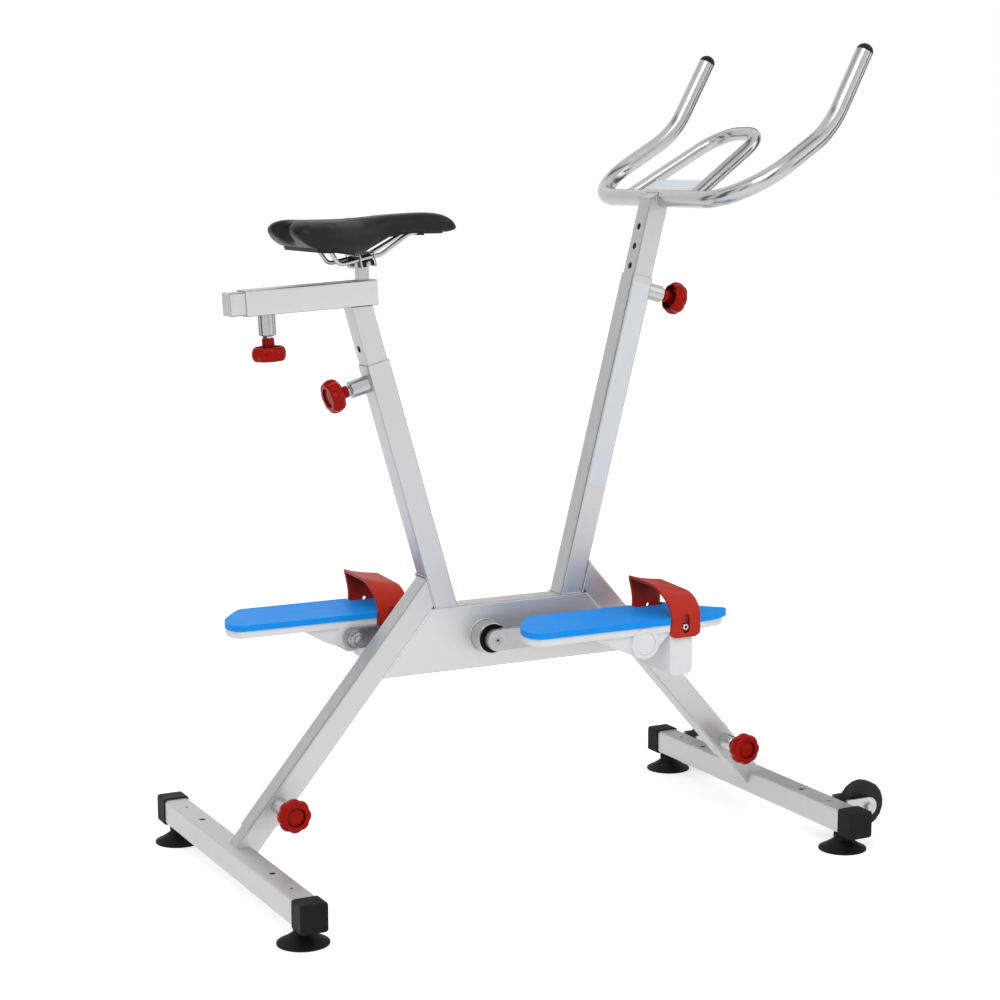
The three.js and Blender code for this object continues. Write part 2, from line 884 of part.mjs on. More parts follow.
function padOutline(inset) {
  const scaled = (shares) => shares.map(([x, y]) => new THREE.Vector2(
    x * (pedal.reach - inset),
    y * (pedalWidth / 2 - inset),
  ));
  const [start, heelStart] = scaled(padSideShares);
  const shape = new THREE.Shape();
  shape.moveTo(start.x, start.y);
  shape.lineTo(heelStart.x, heelStart.y);
  shape.splineThru(scaled(padHeelShares));
  scaled(padToeShares).forEach((point) => shape.lineTo(point.x, point.y));
  shape.closePath();
  return shape;
}

// Space beside the pad or the body for a strap leg, cut in from one edge
function legSpace(side, depth) {
  const length = strap.end - strap.start + 2 * gap;
  return moved(
    new THREE.BoxGeometry(length, 2 * depth, 2 * (strap.top + fin.depth)),
    (strap.start + strap.end) / 2,
    side * (pedalWidth / 2),
    0,
  );
}

const legDepth = strap.thickness + pedalWidth / 2 - strap.halfWidth + gap;

function footPad() {
  const slab = extruded(padOutline(0), pedal.padThickness);
  return cut(
    moved(slab, 0, 0, pedal.padTop - pedal.padThickness),
    legSpace(-1, legDepth),
    legSpace(1, pedal.notchDepth),
  );
}

// The underside of the pedal body in side view, deepest below the hub, as shares of the hub's radius
const webShares = [[-3.2, 0.64], [-1.8, -0.24], [-0.7, -0.7], [0.7, -0.7], [1.92, 0.48], [3.6, 0.64]];

function pedalWeb() {
  const { hubRadius } = pedal;
  return new THREE.Shape(webShares.map(([x, z]) => new THREE.Vector2(x * hubRadius, z * hubRadius)));
}

function pedalBody(outward) {
  const half = pedalWidth / 2;
  const plateTop = pedal.padTop - pedal.padThickness - gap;
  const plateBottom = plateTop - pedal.plateThickness;
  const outerFace = legDepth - half;
  const inset = pedal.plateInset;
  const plate = extruded(padOutline(inset), pedal.plateThickness).translate(0, 0, plateBottom);
  const hub = sidewaysPiece(rod(pedal.hubRadius, -half, half), 0, 0);
  const web = sideProfile(pedalWeb(), outerFace, half - pedal.notchDepth);
  const finShape = roundedRectangle(fin.end - fin.start, 2 * fin.depth, fin.corner);
  const finBlock = cut(
    moved(sideProfile(finShape, outerFace, outerFace + fin.length), (fin.start + fin.end) / 2, 0, 0),
    beyond(new THREE.Vector3(0, 0, plateTop - tubeWall), upward),
  );
  const screwStart = outerFace - strap.thickness + gap;
  const screw = moved(
    sidewaysPiece(rod(strap.screwRadius, screwStart, outerFace + overrun, smallSegments), 0, 0),
    strap.slotX,
    0,
    strap.screwHeight,
  );
  const pocketStart = half - spindle.endNutLength - pedal.capThickness - 3 * gap;
  const bore = rod(spindle.radius + gap, -pedalWidth, pedalWidth, smallSegments);
  const pocket = rod(pedal.capRadius + gap, pocketStart, pedalWidth);
  const body = cut(
    joined(plate, hub, web, finBlock),
    sidewaysPiece(bore, 0, 0, outward),
    sidewaysPiece(pocket, 0, 0, outward),
    legSpace(-1, legDepth),
    legSpace(1, legDepth),
  );
  return joined(body, screw);
}

function hubCap(outward) {
  const end = pedalWidth / 2;
  return sidewaysPiece(rod(pedal.capRadius, end - pedal.capThickness, end), 0, 0, outward);
}

// An arch across the foot: two legs, one large and one small round corner
function strapArch(inset) {
  const { halfWidth, top, bottom, largeRadius, smallRadius } = strap;
  const side = halfWidth - inset;
  const crown = top - inset;
  const path = new THREE.Path();
  path.moveTo(side, bottom - overrun);
  path.lineTo(side, top - smallRadius);
  path.absarc(halfWidth - smallRadius, top - smallRadius, smallRadius - inset, 0, Math.PI / 2);
  path.absarc(largeRadius - halfWidth, top - largeRadius, largeRadius - inset, Math.PI / 2, Math.PI);
  path.lineTo(-side, bottom - overrun);
  return path.getPoints(strap.arcSteps);
}

function footStrap() {
  const { start, end, thickness, top, bottom, smallRadius } = strap;
  const arch = new THREE.Shape([...strapArch(0), ...strapArch(thickness).reverse()]);
  const band = placed(extruded(arch, end - start), new THREE.Matrix4()
    .makeBasis(sideways, upward, forward)
    .setPosition(start, 0, 0));
  const height = top - bottom + smallRadius;
  const outline = roundedRectangle(end - start, height, smallRadius);
  const trim = moved(
    sideProfile(outline, -pedalWidth, pedalWidth),
    (start + end) / 2,
    0,
    bottom + height / 2,
  );
  const slotHeight = strap.slotTop - strap.slotBottom;
  const slotRound = strap.slotWidth * strap.slotRoundShare;
  const slotShape = roundedRectangle(strap.slotWidth, slotHeight, slotRound);
  const slotCut = moved(
    sideProfile(slotShape, -pedalWidth, 0),
    strap.slotX,
    0,
    (strap.slotTop + strap.slotBottom) / 2,
  );
  const hole = moved(
    sidewaysPiece(rod(strap.holeRadius, 0, pedalWidth, smallSegments), 0, 0),
    strap.holeX,
    0,
    strap.holeHeight,
  );
  return cut(common(band, trim), slotCut, hole);
}

// The spindle in its crank's frame: nut and washer inside the crank, collar, shaft and end nut
function pedalSpindle() {
  const pedalInner = pedalFromMiddle - pedalWidth / 2;
  const pedalOuter = pedalFromMiddle + pedalWidth / 2;
  const washerEnd = crank.inner - gap;
  const washerStart = washerEnd - spindle.washerThickness;
  const endNutEnd = pedalOuter - pedal.capThickness - gap;
  const endNutStart = endNutEnd - spindle.endNutLength;
  return joined(
    rod(spindle.radius, washerStart, endNutStart + overrun, smallSegments),
    hexagon(spindle.nutAcross, washerStart - spindle.nutLength, washerStart),
    rod(spindle.washerRadius, washerStart, washerEnd),
    rod(spindle.collarRadius, crank.outer + gap, pedalInner - gap),
    hexagon(spindle.endNutAcross, endNutStart, endNutEnd),
  );
}

function addCrankSet() {
  for (const [name, side] of sideNames) {
    const crankFrame = aimed(
      new THREE.Vector3(crankX, 0, crankHeight),
      sideways.clone().multiplyScalar(side),
      upward,
    );
    addPart(`${name}_crank`, placed(crankArm(), crankFrame), satinSteel());
    addPart(`${name}_crank_bolt`, placed(crankBolt(), crankFrame), polishedSteel());
    const eye = moved(pedalSpindle(), crankLength, 0, 0);
    addPart(`${name}_pedal_spindle`, placed(eye, crankFrame), polishedSteel());
    const pedalX = crankX - side * crankLength;
    const atPedal = (piece) => moved(piece, pedalX, side * pedalFromMiddle, crankHeight);
    addPart(`${name}_pedal_body`, atPedal(pedalBody(side)), whitePlastic());
    addPart(`${name}_pedal_hub_cap`, atPedal(hubCap(side)), whitePlastic());
    addPart(`${name}_foot_pad`, atPedal(footPad()), bluePad());
    addPart(`${name}_foot_strap`, atPedal(footStrap()), redStrapRubber());
  }
}

// Handlebar: post, bar, inner loop, label plate and plugs
const post = {
  insertionLength: 200,
  holeRadius: 5,
  holeSpacing: 33,
  barFirstHoleRise: 76.3,
  seatFirstHoleRise: 25.9,
};
const bar = {
  wall: 2,
  sides: 12,
  bendSteps: 4,
  innerHalf: 252,
  innerBend: 100,
  forward: 174,
  rise: 108,
  outerHalf: 236,
  outerBend: 154,
  hornForward: 66,
  hornRise: 123.9,
  hornHalf: 233,
};
const loop = {
  wall: 2,
  sides: 10,
  rootHalf: 102.7,
  forward: 166,
  rise: 105.6,
  frontHalf: 63.5,
  bend: 62.8,
};
const label = { depth: 40, thickness: 2, margin: 14 };
const plug = { length: 20, dome: 13, rim: 1 };
const plugDomeShares = [[0.85, 0.53], [0.5, 0.87]];

function barPoint(forwardBy, half, rise) {
  return new THREE.Vector3(barX + forwardBy, half, barHeight + rise);
}

function handlebarPath() {
  const halves = [-1, 1].map((side) => [
    barPoint(0, side * bar.innerHalf, 0),
    barPoint(bar.forward, side * bar.outerHalf, bar.rise),
    barPoint(bar.forward + bar.hornForward, side * bar.hornHalf, bar.rise + bar.hornRise),
  ]);
  const corners = [...halves[0].reverse(), ...halves[1]];
  const radii = [bar.outerBend, bar.innerBend, bar.innerBend, bar.outerBend];
  return bentPath(corners, radii, bar.bendSteps);
}

function loopPath() {
  const corners = [
    barPoint(0, -loop.rootHalf, 0),
    barPoint(loop.forward, -loop.frontHalf, loop.rise),
    barPoint(loop.forward, loop.frontHalf, loop.rise),
    barPoint(0, loop.rootHalf, 0),
  ];
  return bentPath(corners, [loop.bend, loop.bend], bar.bendSteps);
}

function barSpace() {
  return swept(handlebarPath(), barRadius + gap, bar.sides);
}

// A post that slides in an upright, with a row of holes along it
function slidingPost(line, tubeTop, firstHoleRise, ...tools) {
  const bottom = atHeight(line, tubeTop).addScaledVector(line.direction, -post.insertionLength);
  const holes = [];
  for (let down = 0; down < post.insertionLength; down += post.holeSpacing) {
    const centre = atHeight(line, tubeTop + firstHoleRise).addScaledVector(line.direction, -down);
    const hole = rod(post.holeRadius, -tubeSide, tubeSide, holeSegments);
    holes.push(placed(hole, aimed(centre, squareTo(line, 1))));
  }
  return cut(
    tubeAlong(line, insertSide, tubeWall, tubeCorner - tubeWall),
    beyond(bottom, line.direction.clone().negate()),
    ...tools,
    ...holes,
  );
}

// The plate between the loop's roots, in the loop's plane
function labelPlate() {
  const slope = Math.hypot(loop.forward, loop.rise);
  const narrowing = (loop.rootHalf - loop.frontHalf) / slope;
  const start = barRadius + gap;
  const end = start + label.depth;
  const halfAt = (run) => loop.rootHalf - run * narrowing - label.margin;
  const shape = new THREE.Shape([
    new THREE.Vector2(start, -halfAt(start)),
    new THREE.Vector2(end, -halfAt(end)),
    new THREE.Vector2(end, halfAt(end)),
    new THREE.Vector2(start, halfAt(start)),
  ]);
  const pitch = Math.atan2(loop.rise, loop.forward);
  return extruded(shape, label.thickness)
    .translate(0, 0, -label.thickness / 2)
    .rotateY(-pitch)
    .translate(barX, 0, barHeight);
}

function barPlug(side) {
  const { stations } = handlebarPath();
  const end = side < 0 ? stations[0] : stations[stations.length - 1];
  const before = side < 0 ? stations[1] : stations[stations.length - 2];
  const outward = end.clone().sub(before).normalize();
  const inner = barRadius - bar.wall - gap - plug.rim;
  const head = turned([
    [0, -plug.length],
    [inner, -plug.length],
    [inner, gap],
    [barRadius - plug.rim, gap],
    [barRadius, plug.rim + gap],
    ...plugDomeShares.map(([radius, height]) => [radius * barRadius, height * plug.dome]),
    [0, plug.dome],
  ], smallSegments);
  return placed(head, aimed(end, outward, forward));
}

function addHandlebar() {
  const postTop = beyond(new THREE.Vector3(0, 0, barHeight), upward);
  addPart(
    'handlebar_post',
    slidingPost(barLine, barTubeTop, post.barFirstHoleRise, postTop, barSpace()),
    satinSteel(),
  );
  addPart('handlebar', swept(handlebarPath(), barRadius, bar.sides, bar.wall), polishedSteel());
  const inner = swept(loopPath(), loopRadius, loop.sides, loop.wall);
  addPart('handlebar_loop', cut(inner, barSpace()), polishedSteel());
  addPart('label_plate', labelPlate(), labelFoil());
  for (const [name, side] of sideNames) {
    addPart(`${name}_bar_plug`, barPlug(side), blackPlastic());
  }
}

// Seat: post, box, slide tube, pillar, clamp and rails
const seat = {
  slotBehind: 110.5,
  slotAhead: 13.5,
  slotWidth: 15,
  pillarDepth: 19,
  pillarWidth: 13.5,
  boltRadius: 3,
  boltHeadAcross: 10,
  boltHeadLength: 5,
  clampLength: 24,
  clampHalfWidth: 29,
  clampBelow: 5,
  clampAbove: 14,
  railAngle: 11.7,
  railAbovePivot: 9,
  railRadius: 3.5,
  railHalf: 22,
};

function boxAlong(x) {
  return alongSeatBox(x).distanceTo(seatBoxLine.origin) * Math.sign(x - pillarX);
}

function inSeatBox(piece) {
  return placed(piece, aimed(seatBoxLine.origin, seatBoxLine.direction));
}

// The seat box: its front end closed, its rear end open for the slide, a slot along its top
function seatBox() {
  const rear = boxAlong(pillarX - seatBoxBehind);
  const front = boxAlong(pillarX + seatBoxAhead);
  const outer = squareBar(tubeSide, tubeCorner, rear, front);
  const hollow = squareBar(innerSide, tubeCorner - tubeWall, rear - overrun, front - tubeWall);
  const slotLength = seat.slotAhead + seat.slotBehind;
  const slotCut = moved(
    new THREE.BoxGeometry(2 * tubeCorner, seat.slotWidth, slotLength),
    -tubeSide / 2,
    0,
    boxAlong(pillarX + (seat.slotAhead - seat.slotBehind) / 2),
  );
  const box = cut(inSeatBox(outer), inSeatBox(hollow));
  return cut(withClamp(box, clampPlaces.seat_slide_knob), inSeatBox(slotCut));
}

function slideTube() {
  const rear = boxAlong(pillarX - slideTubeBehind);
  const front = boxAlong(pillarX + seatBoxAhead) - tubeWall - gap;
  const outer = squareBar(insertSide, tubeCorner - tubeWall, rear, front);
  const hollowSide = insertSide - 2 * tubeWall;
  const hollow = squareBar(hollowSide, tubeCorner - tubeWall, rear + tubeWall, front + overrun);
  return inSeatBox(cut(outer, hollow));
}

const pivot = new THREE.Vector3(pillarX, 0, pivotHeight);
const clampFrame = aimed(pivot, leaning(-seat.railAngle));

function boltBore() {
  const bore = rod(seat.boltRadius + gap, -tubeSide, tubeSide, smallSegments);
  return sidewaysPiece(bore, pillarX, pivotHeight);
}

function saddlePillar() {
  const half = seat.pillarDepth / 2;
  const shape = new THREE.Shape();
  shape.absarc(0, 0, half, 0, Math.PI);
  shape.lineTo(-half, -tubeSide);
  shape.lineTo(half, -tubeSide);
  const column = sideProfile(shape, -seat.pillarWidth / 2, seat.pillarWidth / 2, arcSegments);
  const seatUp = seatBoxDown.clone().negate();
  const foot = seatBoxLine.origin.clone().addScaledVector(seatUp, insertSide / 2 + gap);
  return cut(moved(column, pivot.x, 0, pivot.z), beyond(foot, seatBoxDown), boltBore());
}

function saddleClamp() {
  const { clampLength, clampHalfWidth, clampBelow, clampAbove, railAbovePivot, railHalf } = seat;
  const height = clampBelow + clampAbove;
  const middle = (clampAbove - clampBelow) / 2;
  const block = moved(new THREE.BoxGeometry(clampLength, 2 * clampHalfWidth, height), 0, 0, middle);
  const pillarRoom = new THREE.BoxGeometry(
    2 * clampLength,
    seat.pillarWidth + 2 * gap,
    seat.pillarDepth + 2 * gap,
  );
  const bores = [-1, 1].map((side) => moved(
    rod(seat.railRadius + gap, -clampLength, clampLength, smallSegments).rotateY(Math.PI / 2),
    0,
    side * railHalf,
    railAbovePivot,
  ));
  return cut(placed(cut(block, pillarRoom, ...bores), clampFrame), boltBore());
}

function clampBolt() {
  const face = seat.clampHalfWidth + gap;
  const { boltRadius, boltHeadAcross, boltHeadLength } = seat;
  return sidewaysPiece(joined(
    rod(boltRadius, -face - boltHeadLength / 2, face + boltHeadLength / 2, smallSegments),
    hexagon(boltHeadAcross, face, face + boltHeadLength),
    hexagon(boltHeadAcross, -face - boltHeadLength, -face),
  ), pillarX, pivotHeight);
}

// The rails: one wire, up into the shell at the tail and round in a bow under the nose
const rail = {
  tail: { back: 66.5, half: 24, rise: 28 },
  rearKnee: 47,
  frontKnee: 26,
  entry: { ahead: 76, half: 11, rise: 45 },
  nose: { ahead: 99, half: 9, rise: 47 },
  kneeBend: 14,
  frontBend: 25,
  noseBend: 8.5,
  sides: 8,
  bendSteps: 3,
};

function onRail(run, half) {
  return new THREE.Vector3(run, half, seat.railAbovePivot).applyMatrix4(clampFrame);
}

function railPath() {
  const place = ({ ahead = 0, back = 0, half, rise }, side) => (
    new THREE.Vector3(pivot.x + ahead - back, side * half, pivot.z + rise)
  );
  const halves = [-1, 1].map((side) => [
    place(rail.tail, side),
    onRail(-rail.rearKnee, side * seat.railHalf),
    onRail(rail.frontKnee, side * seat.railHalf),
    place(rail.entry, side),
    place(rail.nose, side),
  ]);
  const corners = [...halves[0], ...halves[1].reverse()];
  const bends = [rail.kneeBend, rail.frontBend, rail.frontBend, rail.noseBend];
  return bentPath(corners, [...bends, ...bends.slice().reverse()], rail.bendSteps);
}

function addSeat() {
  const boxBottom = seatBoxLine.origin.clone().addScaledVector(seatBoxDown, tubeSide / 2 + gap);
  const postTop = beyond(boxBottom, seatBoxDown.clone().negate());
  const seatPost = slidingPost(seatLine, seatTubeTop, post.seatFirstHoleRise, postTop);
  addPart('seat_post', seatPost, satinSteel());
  addPart('seat_box', seatBox(), satinSteel());
  addPart('slide_tube', slideTube(), satinSteel());
  addPart('saddle_pillar', saddlePillar(), satinSteel());
  addPart('saddle_clamp', saddleClamp(), polishedSteel());
  addPart('saddle_clamp_bolt', clampBolt(), polishedSteel());
  addPart('saddle_rails', swept(railPath(), seat.railRadius, rail.sides), polishedSteel());
}

// Saddle: a padded top over a thin shell, both lofted from tail to nose
const saddle = {
  stations: 18,
  innerStations: 9,
  edge: 5,
  padding: 18,
  shellThickness: 3,
  channel: 6,
  notchDepth: 22,
  notchRadius: 40,
  cavityStart: 0.11,
  cavityEnd: 0.9,
  socket: { length: 20, width: 14, below: 10 },
  noseHook: { length: 12, width: 26, below: 5 },
};

// Shares along the saddle from tail to nose, then shares of its height or half width
const alongShares = [
  0, 0.03, 0.11, 0.22, 0.3, 0.365, 0.42, 0.48,
  0.55, 0.62, 0.72, 0.83, 0.92, 0.97, 1,
];
const topShares = [
  0.7, 0.83, 0.865, 0.87, 0.875, 0.885, 0.9, 0.92,
  0.955, 0.975, 0.99, 1, 0.94, 0.82, 0.66,
];
const skirtShares = [
  0.42, 0.29, 0.165, 0.15, 0.1, 0, 0.135, 0.3,
  0.42, 0.51, 0.545, 0.515, 0.53, 0.56, 0.6,
];
const widthShares = [
  0.74, 0.91, 0.99, 0.97, 0.87, 0.74, 0.61, 0.51,
  0.43, 0.37, 0.33, 0.3, 0.27, 0.22, 0.11,
];

// Half of a cross-section, from the skirt's edge to the middle: shares of half width and height
const sectionShares = [
  [0.9, 0], [0.97, 0.15], [1, 0.38], [0.965, 0.62], [0.86, 0.82], [0.66, 0.94], [0.4, 0.995], [0.17, 1],
  [0, 1],
];

function follow(shares, at) {
  return new THREE.CubicInterpolant(alongShares, shares, 1).evaluate(at)[0];
}

// One cross-section, with its edge, top and foot moved in by the given amounts
function saddleSection(at, inset, lowered, dropped) {
  const halfWidth = saddleHalfWidth * follow(widthShares, at) - inset;
  const foot = saddleWingHeight + saddleHeight * follow(skirtShares, at);
  const crown = saddleWingHeight + saddleHeight * follow(topShares, at) - lowered;
  const channel = inset > 0 ? 0 : saddle.channel * THREE.MathUtils.smoothstep(0.75 - at, 0, 0.6);
  const x = saddleNose - saddleLength * (1 - at);
  const half = sectionShares.map(([across, up]) => {
    const sunk = channel * (1 - THREE.MathUtils.smoothstep(across, 0, 0.45));
    const z = up > 0 ? foot + up * (crown - foot - sunk) : foot - dropped;
    return new THREE.Vector3(x, across * halfWidth, z);
  });
  const mirrored = half.slice(0, -1).map((point) => point.clone().setY(-point.y)).reverse();
  return [...half, ...mirrored];
}

// A closed skin over a row of cross-sections, with strips from side to side over each end
function lofted(sections) {
  const size = sections[0].length;
  const points = sections.flat();
  const triangles = [];
  for (let row = 0; row < sections.length - 1; row += 1) {
    for (let i = 0; i < size; i += 1) {
      const a = row * size + i;
      const b = row * size + ((i + 1) % size);
      triangles.push(a, b, a + size, b, b + size, a + size);
    }
  }
  const lastRow = (sections.length - 1) * size;
  for (let i = 0; i < (size - 1) / 2; i += 1) {
    const across = size - 1 - i;
    triangles.push(i, across, i + 1, lastRow + i, lastRow + i + 1, lastRow + across);
    if (i + 1 < across - 1) {
      triangles.push(i + 1, across, across - 1);
      triangles.push(lastRow + i + 1, lastRow + across - 1, lastRow + across);
    }
  }
  return new THREE.BufferGeometry().setFromPoints(points).setIndex(triangles);
}

function saddleLoft(from, to, inset, lowered, dropped, stations = saddle.innerStations) {
  const sections = Array.from({ length: stations + 1 }, (_, station) => {
    const at = from + ((to - from) * (1 - Math.cos((Math.PI * station) / stations))) / 2;
    return saddleSection(at, inset, lowered, dropped);
  });
  return lofted(sections);
}

function saddlePad() {
  const { cavityStart, cavityEnd, edge, padding } = saddle;
  const cavity = saddleLoft(cavityStart, cavityEnd, edge, padding, overrun);
  const tail = saddleNose - saddleLength;
  const notch = moved(
    rod(saddle.notchRadius, saddleWingHeight - overrun, saddleWingHeight + saddleHeight + overrun),
    tail + saddle.notchDepth - saddle.notchRadius,
    0,
    0,
  );
  return cut(saddleLoft(0, 1, 0, 0, 0, saddle.stations), cavity, notch);
}

function saddleShell() {
  const { cavityStart, cavityEnd, edge, padding, socket, noseHook } = saddle;
  const shell = saddle.shellThickness;
  const step = gap / saddleLength;
  const wall = shell / saddleLength;
  const outer = saddleLoft(cavityStart + step, cavityEnd - step, edge + gap, padding + gap, 0);
  const inside = saddleLoft(
    cavityStart + step + wall,
    cavityEnd - step - wall,
    edge + gap + shell,
    padding + gap + shell,
    overrun,
  );
  const railEnd = pivot.clone().add(new THREE.Vector3(-rail.tail.back, 0, rail.tail.rise));
  const socketTop = saddleWingHeight + saddleHeight * topShares[2] - padding - gap - shell / 2;
  const socketHeight = socketTop - railEnd.z + socket.below;
  const sockets = [-1, 1].map((side) => moved(
    new THREE.BoxGeometry(socket.length, socket.width, socketHeight),
    railEnd.x,
    side * rail.tail.half,
    socketTop - socketHeight / 2,
  ));
  const bowX = pivot.x + rail.nose.ahead;
  const bowZ = pivot.z + rail.nose.rise;
  const hookTop = saddleWingHeight + saddleHeight * topShares[10] - padding - gap - shell;
  const hookHeight = hookTop + shell / 2 - bowZ + noseHook.below;
  const hook = moved(
    new THREE.BoxGeometry(noseHook.length, noseHook.width, hookHeight),
    bowX - seat.railRadius,
    0,
    hookTop + shell / 2 - hookHeight / 2,
  );
  const railSpace = swept(railPath(), seat.railRadius + gap, rail.sides);
  return cut(joined(cut(outer, inside), ...sockets, hook), railSpace);
}

function addSaddle() {
  addPart('saddle_shell', saddleShell(), blackPlastic());
  addPart('saddle_pad', saddlePad(), saddleCover());
}

addFrame();
addFeet();
addBottomBracket();
addCrankSet();
addHandlebar();
addSeat();
addSaddle();
addKnobs();

// The origin lies on the floor, below the middle of the bike's length
const rearEnd = atHeight(rearLegLine, footBarHeight).x - cupRadius;
const frontEnd = atHeight(frontLegLine, footBarHeight).x + wheelAhead + wheelRadius;
bike.position.x = -(rearEnd + frontEnd) / 2;

export default bike;
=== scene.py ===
"""An aqua bike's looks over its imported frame. Metres, X forward, Y to the rider's left, Z up."""
import json
import math
import bmesh
import bpy
from mathutils import Matrix, Vector


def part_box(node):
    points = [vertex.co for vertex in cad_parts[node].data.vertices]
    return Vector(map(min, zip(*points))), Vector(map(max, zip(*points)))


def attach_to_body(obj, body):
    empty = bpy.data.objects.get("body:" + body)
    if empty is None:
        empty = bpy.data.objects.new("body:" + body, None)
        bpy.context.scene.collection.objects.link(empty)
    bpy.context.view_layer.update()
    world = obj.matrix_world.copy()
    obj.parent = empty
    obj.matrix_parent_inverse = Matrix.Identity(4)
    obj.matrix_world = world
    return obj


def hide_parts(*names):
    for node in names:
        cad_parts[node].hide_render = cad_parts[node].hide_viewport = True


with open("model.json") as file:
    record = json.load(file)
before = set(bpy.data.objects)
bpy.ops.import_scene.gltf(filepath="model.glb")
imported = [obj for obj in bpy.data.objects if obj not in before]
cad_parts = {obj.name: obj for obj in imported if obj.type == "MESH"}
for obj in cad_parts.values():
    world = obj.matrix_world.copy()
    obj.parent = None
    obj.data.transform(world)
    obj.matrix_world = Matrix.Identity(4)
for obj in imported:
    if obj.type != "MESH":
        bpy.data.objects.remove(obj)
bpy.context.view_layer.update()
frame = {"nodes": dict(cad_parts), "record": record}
record = frame["record"]
node_body = {
    node: body
    for body, nodes in record["behaviour"]["bodies"].items()
    for node in nodes
}
node_slot = {row["node"]: row["material_slot"] for row in record["subparts"]}
joints = {joint["name"]: joint for joint in record["behaviour"]["joints"]}

mm = 0.001
gap = 0.3 * mm
tube_side = 40 * mm
tube_wall = 2 * mm
fine_round = 0.5 * mm

# Takes a place measured along the bike's side view to one from the bike's own middle
shift = -34.431 * mm
crank_x = -51.5 * mm + shift
crank_height = 366.75 * mm
crank_length = 196 * mm
beam_top = 420 * mm
beam_bottom = 313.5 * mm
# Leaning tubes, as name: middle line along X at the crank's height, lean in degrees, nodes
tubes = {
    "seat_tube": (-104.1 * mm + shift, -16, "seat_tube", "seat_post"),
    "bar_tube": (96.4 * mm + shift, 14.5, "handlebar_tube", "handlebar_post"),
    "rear_leg": (-213.3 * mm + shift, 40, "rear_leg_tube", "rear_foot"),
    "front_leg": (210.1 * mm + shift, -41, "front_leg_tube", "front_foot"),
}
side_names = {"right": -1, "left": 1}
ends = {"rear": -1, "front": 1}


# Camera and lamps
camera_place = Vector((-1.66079, -3.15187, 1.12995))
camera_yaw = 27.12
camera_pitch = -8.78
camera_roll = -0.22
camera_lens = 79.3
camera_sensor = 36
lamp_target = Vector((0, 0, 0.6))
# Lamps, as name: place, width and height, power
lamps = {
    "key_lamp": ((-1.6, -2.2, 3.2), (2.2, 2.2), 38),
    "fill_lamp": ((2.6, -1.6, 2), (2, 2), 14),
}


def link_object(name, data):
    item = bpy.data.objects.new(name, data)
    bpy.context.scene.collection.objects.link(item)
    return item


def add_camera():
    yaw, pitch, roll = (math.radians(v) for v in (camera_yaw, camera_pitch, camera_roll))
    level = math.cos(pitch)
    ahead = Vector((math.sin(yaw) * level, math.cos(yaw) * level, math.sin(pitch)))
    level_right = Vector((math.cos(yaw), -math.sin(yaw), 0))
    level_up = level_right.cross(ahead)
    right = level_right * math.cos(roll) + level_up * math.sin(roll)
    up = level_up * math.cos(roll) - level_right * math.sin(roll)
    data = bpy.data.cameras.new("camera")
    data.lens = camera_lens
    data.sensor_width = camera_sensor
    camera = link_object("camera", data)
    turn = Matrix((right, up, -ahead)).transposed()
    camera.matrix_world = Matrix.Translation(camera_place) @ turn.to_4x4()
    bpy.context.scene.camera = camera


def add_lamp(name):
    place, size, power = lamps[name]
    data = bpy.data.lights.new(name, "AREA")
    data.shape = "RECTANGLE"
    data.size, data.size_y = size
    data.energy = power
    lamp = link_object(name, data)
    lamp.location = place
    lamp.rotation_mode = "QUATERNION"
    lamp.rotation_quaternion = (lamp_target - Vector(place)).to_track_quat("-Z", "Y")


# Node helpers for the materials
def shader_tree(name, **values):
    look = bpy.data.materials.new(name)
    look.use_nodes = True
    look.node_tree.nodes.clear()
    output = add_node(look, "OutputMaterial")
    shader = add_node(look, "BsdfPrincipled", **values)
    connect(look, shader.outputs["BSDF"], output.inputs["Surface"])
    return look, shader


def add_node(look, kind, settings=None, **values):
    """A shader node with its settings, and with plain values on its inputs."""
    node = look.node_tree.nodes.new(f"ShaderNode{kind}")
    for key, value in (settings or {}).items():
        setattr(node, key, value)
    for key, value in values.items():
        node.inputs[key.replace("_", " ")].default_value = value
    return node


def connect(look, source, target):
    look.node_tree.links.new(source, target)


def coat(look, shader, tone, rough):
    connect(look, tone, shader.inputs["Base Color"])
    connect(look, rough, shader.inputs["Roughness"])


def math_node(look, operation, *values):
    """One step of arithmetic on other nodes' results and plain numbers."""
    node = add_node(look, "Math", {"operation": operation})
    for value, target in zip(values, node.inputs):
        if isinstance(value, (int, float)):
            target.default_value = value
        else:
            connect(look, value, target)
    return node.outputs["Value"]


def place_on(look, scale=(1, 1, 1), lean=0):
    """Object coordinates, turned so that their Z runs along a leaning tube, and scaled."""
    places = add_node(look, "TexCoord")
    turn = (0, math.radians(lean), 0)
    mapping = add_node(look, "Mapping", {"vector_type": "TEXTURE"}, Rotation=turn)
    stretch = add_node(look, "VectorMath", {"operation": "MULTIPLY"})
    stretch.inputs[1].default_value = scale
    connect(look, places.outputs["Object"], mapping.inputs["Vector"])
    connect(look, mapping.outputs["Vector"], stretch.inputs[0])
    return stretch.outputs["Vector"]


def noise_on(look, places, scale, detail=3, roughness=0.5):
    node = add_node(look, "TexNoise", Scale=scale, Detail=detail, Roughness=roughness)
    connect(look, places, node.inputs["Vector"])
    return node.outputs["Fac"]


def ramp(look, source, low, high, start=0.3, end=0.7):
    span = {"From_Min": start, "From_Max": end, "To_Min": low, "To_Max": high}
    node = add_node(look, "MapRange", **span)
    connect(look, source, node.inputs["Value"])
    return node.outputs["Result"]


def colour_ramp(look, source, dark, light, start=0.3, end=0.7):
    node = add_node(look, "ValToRGB")
    for element, place, colour in zip(node.color_ramp.elements, (start, end), (dark, light)):
        element.position = place
        element.color = (*colour, 1)
    connect(look, source, node.inputs["Fac"])
    return node.outputs["Color"]


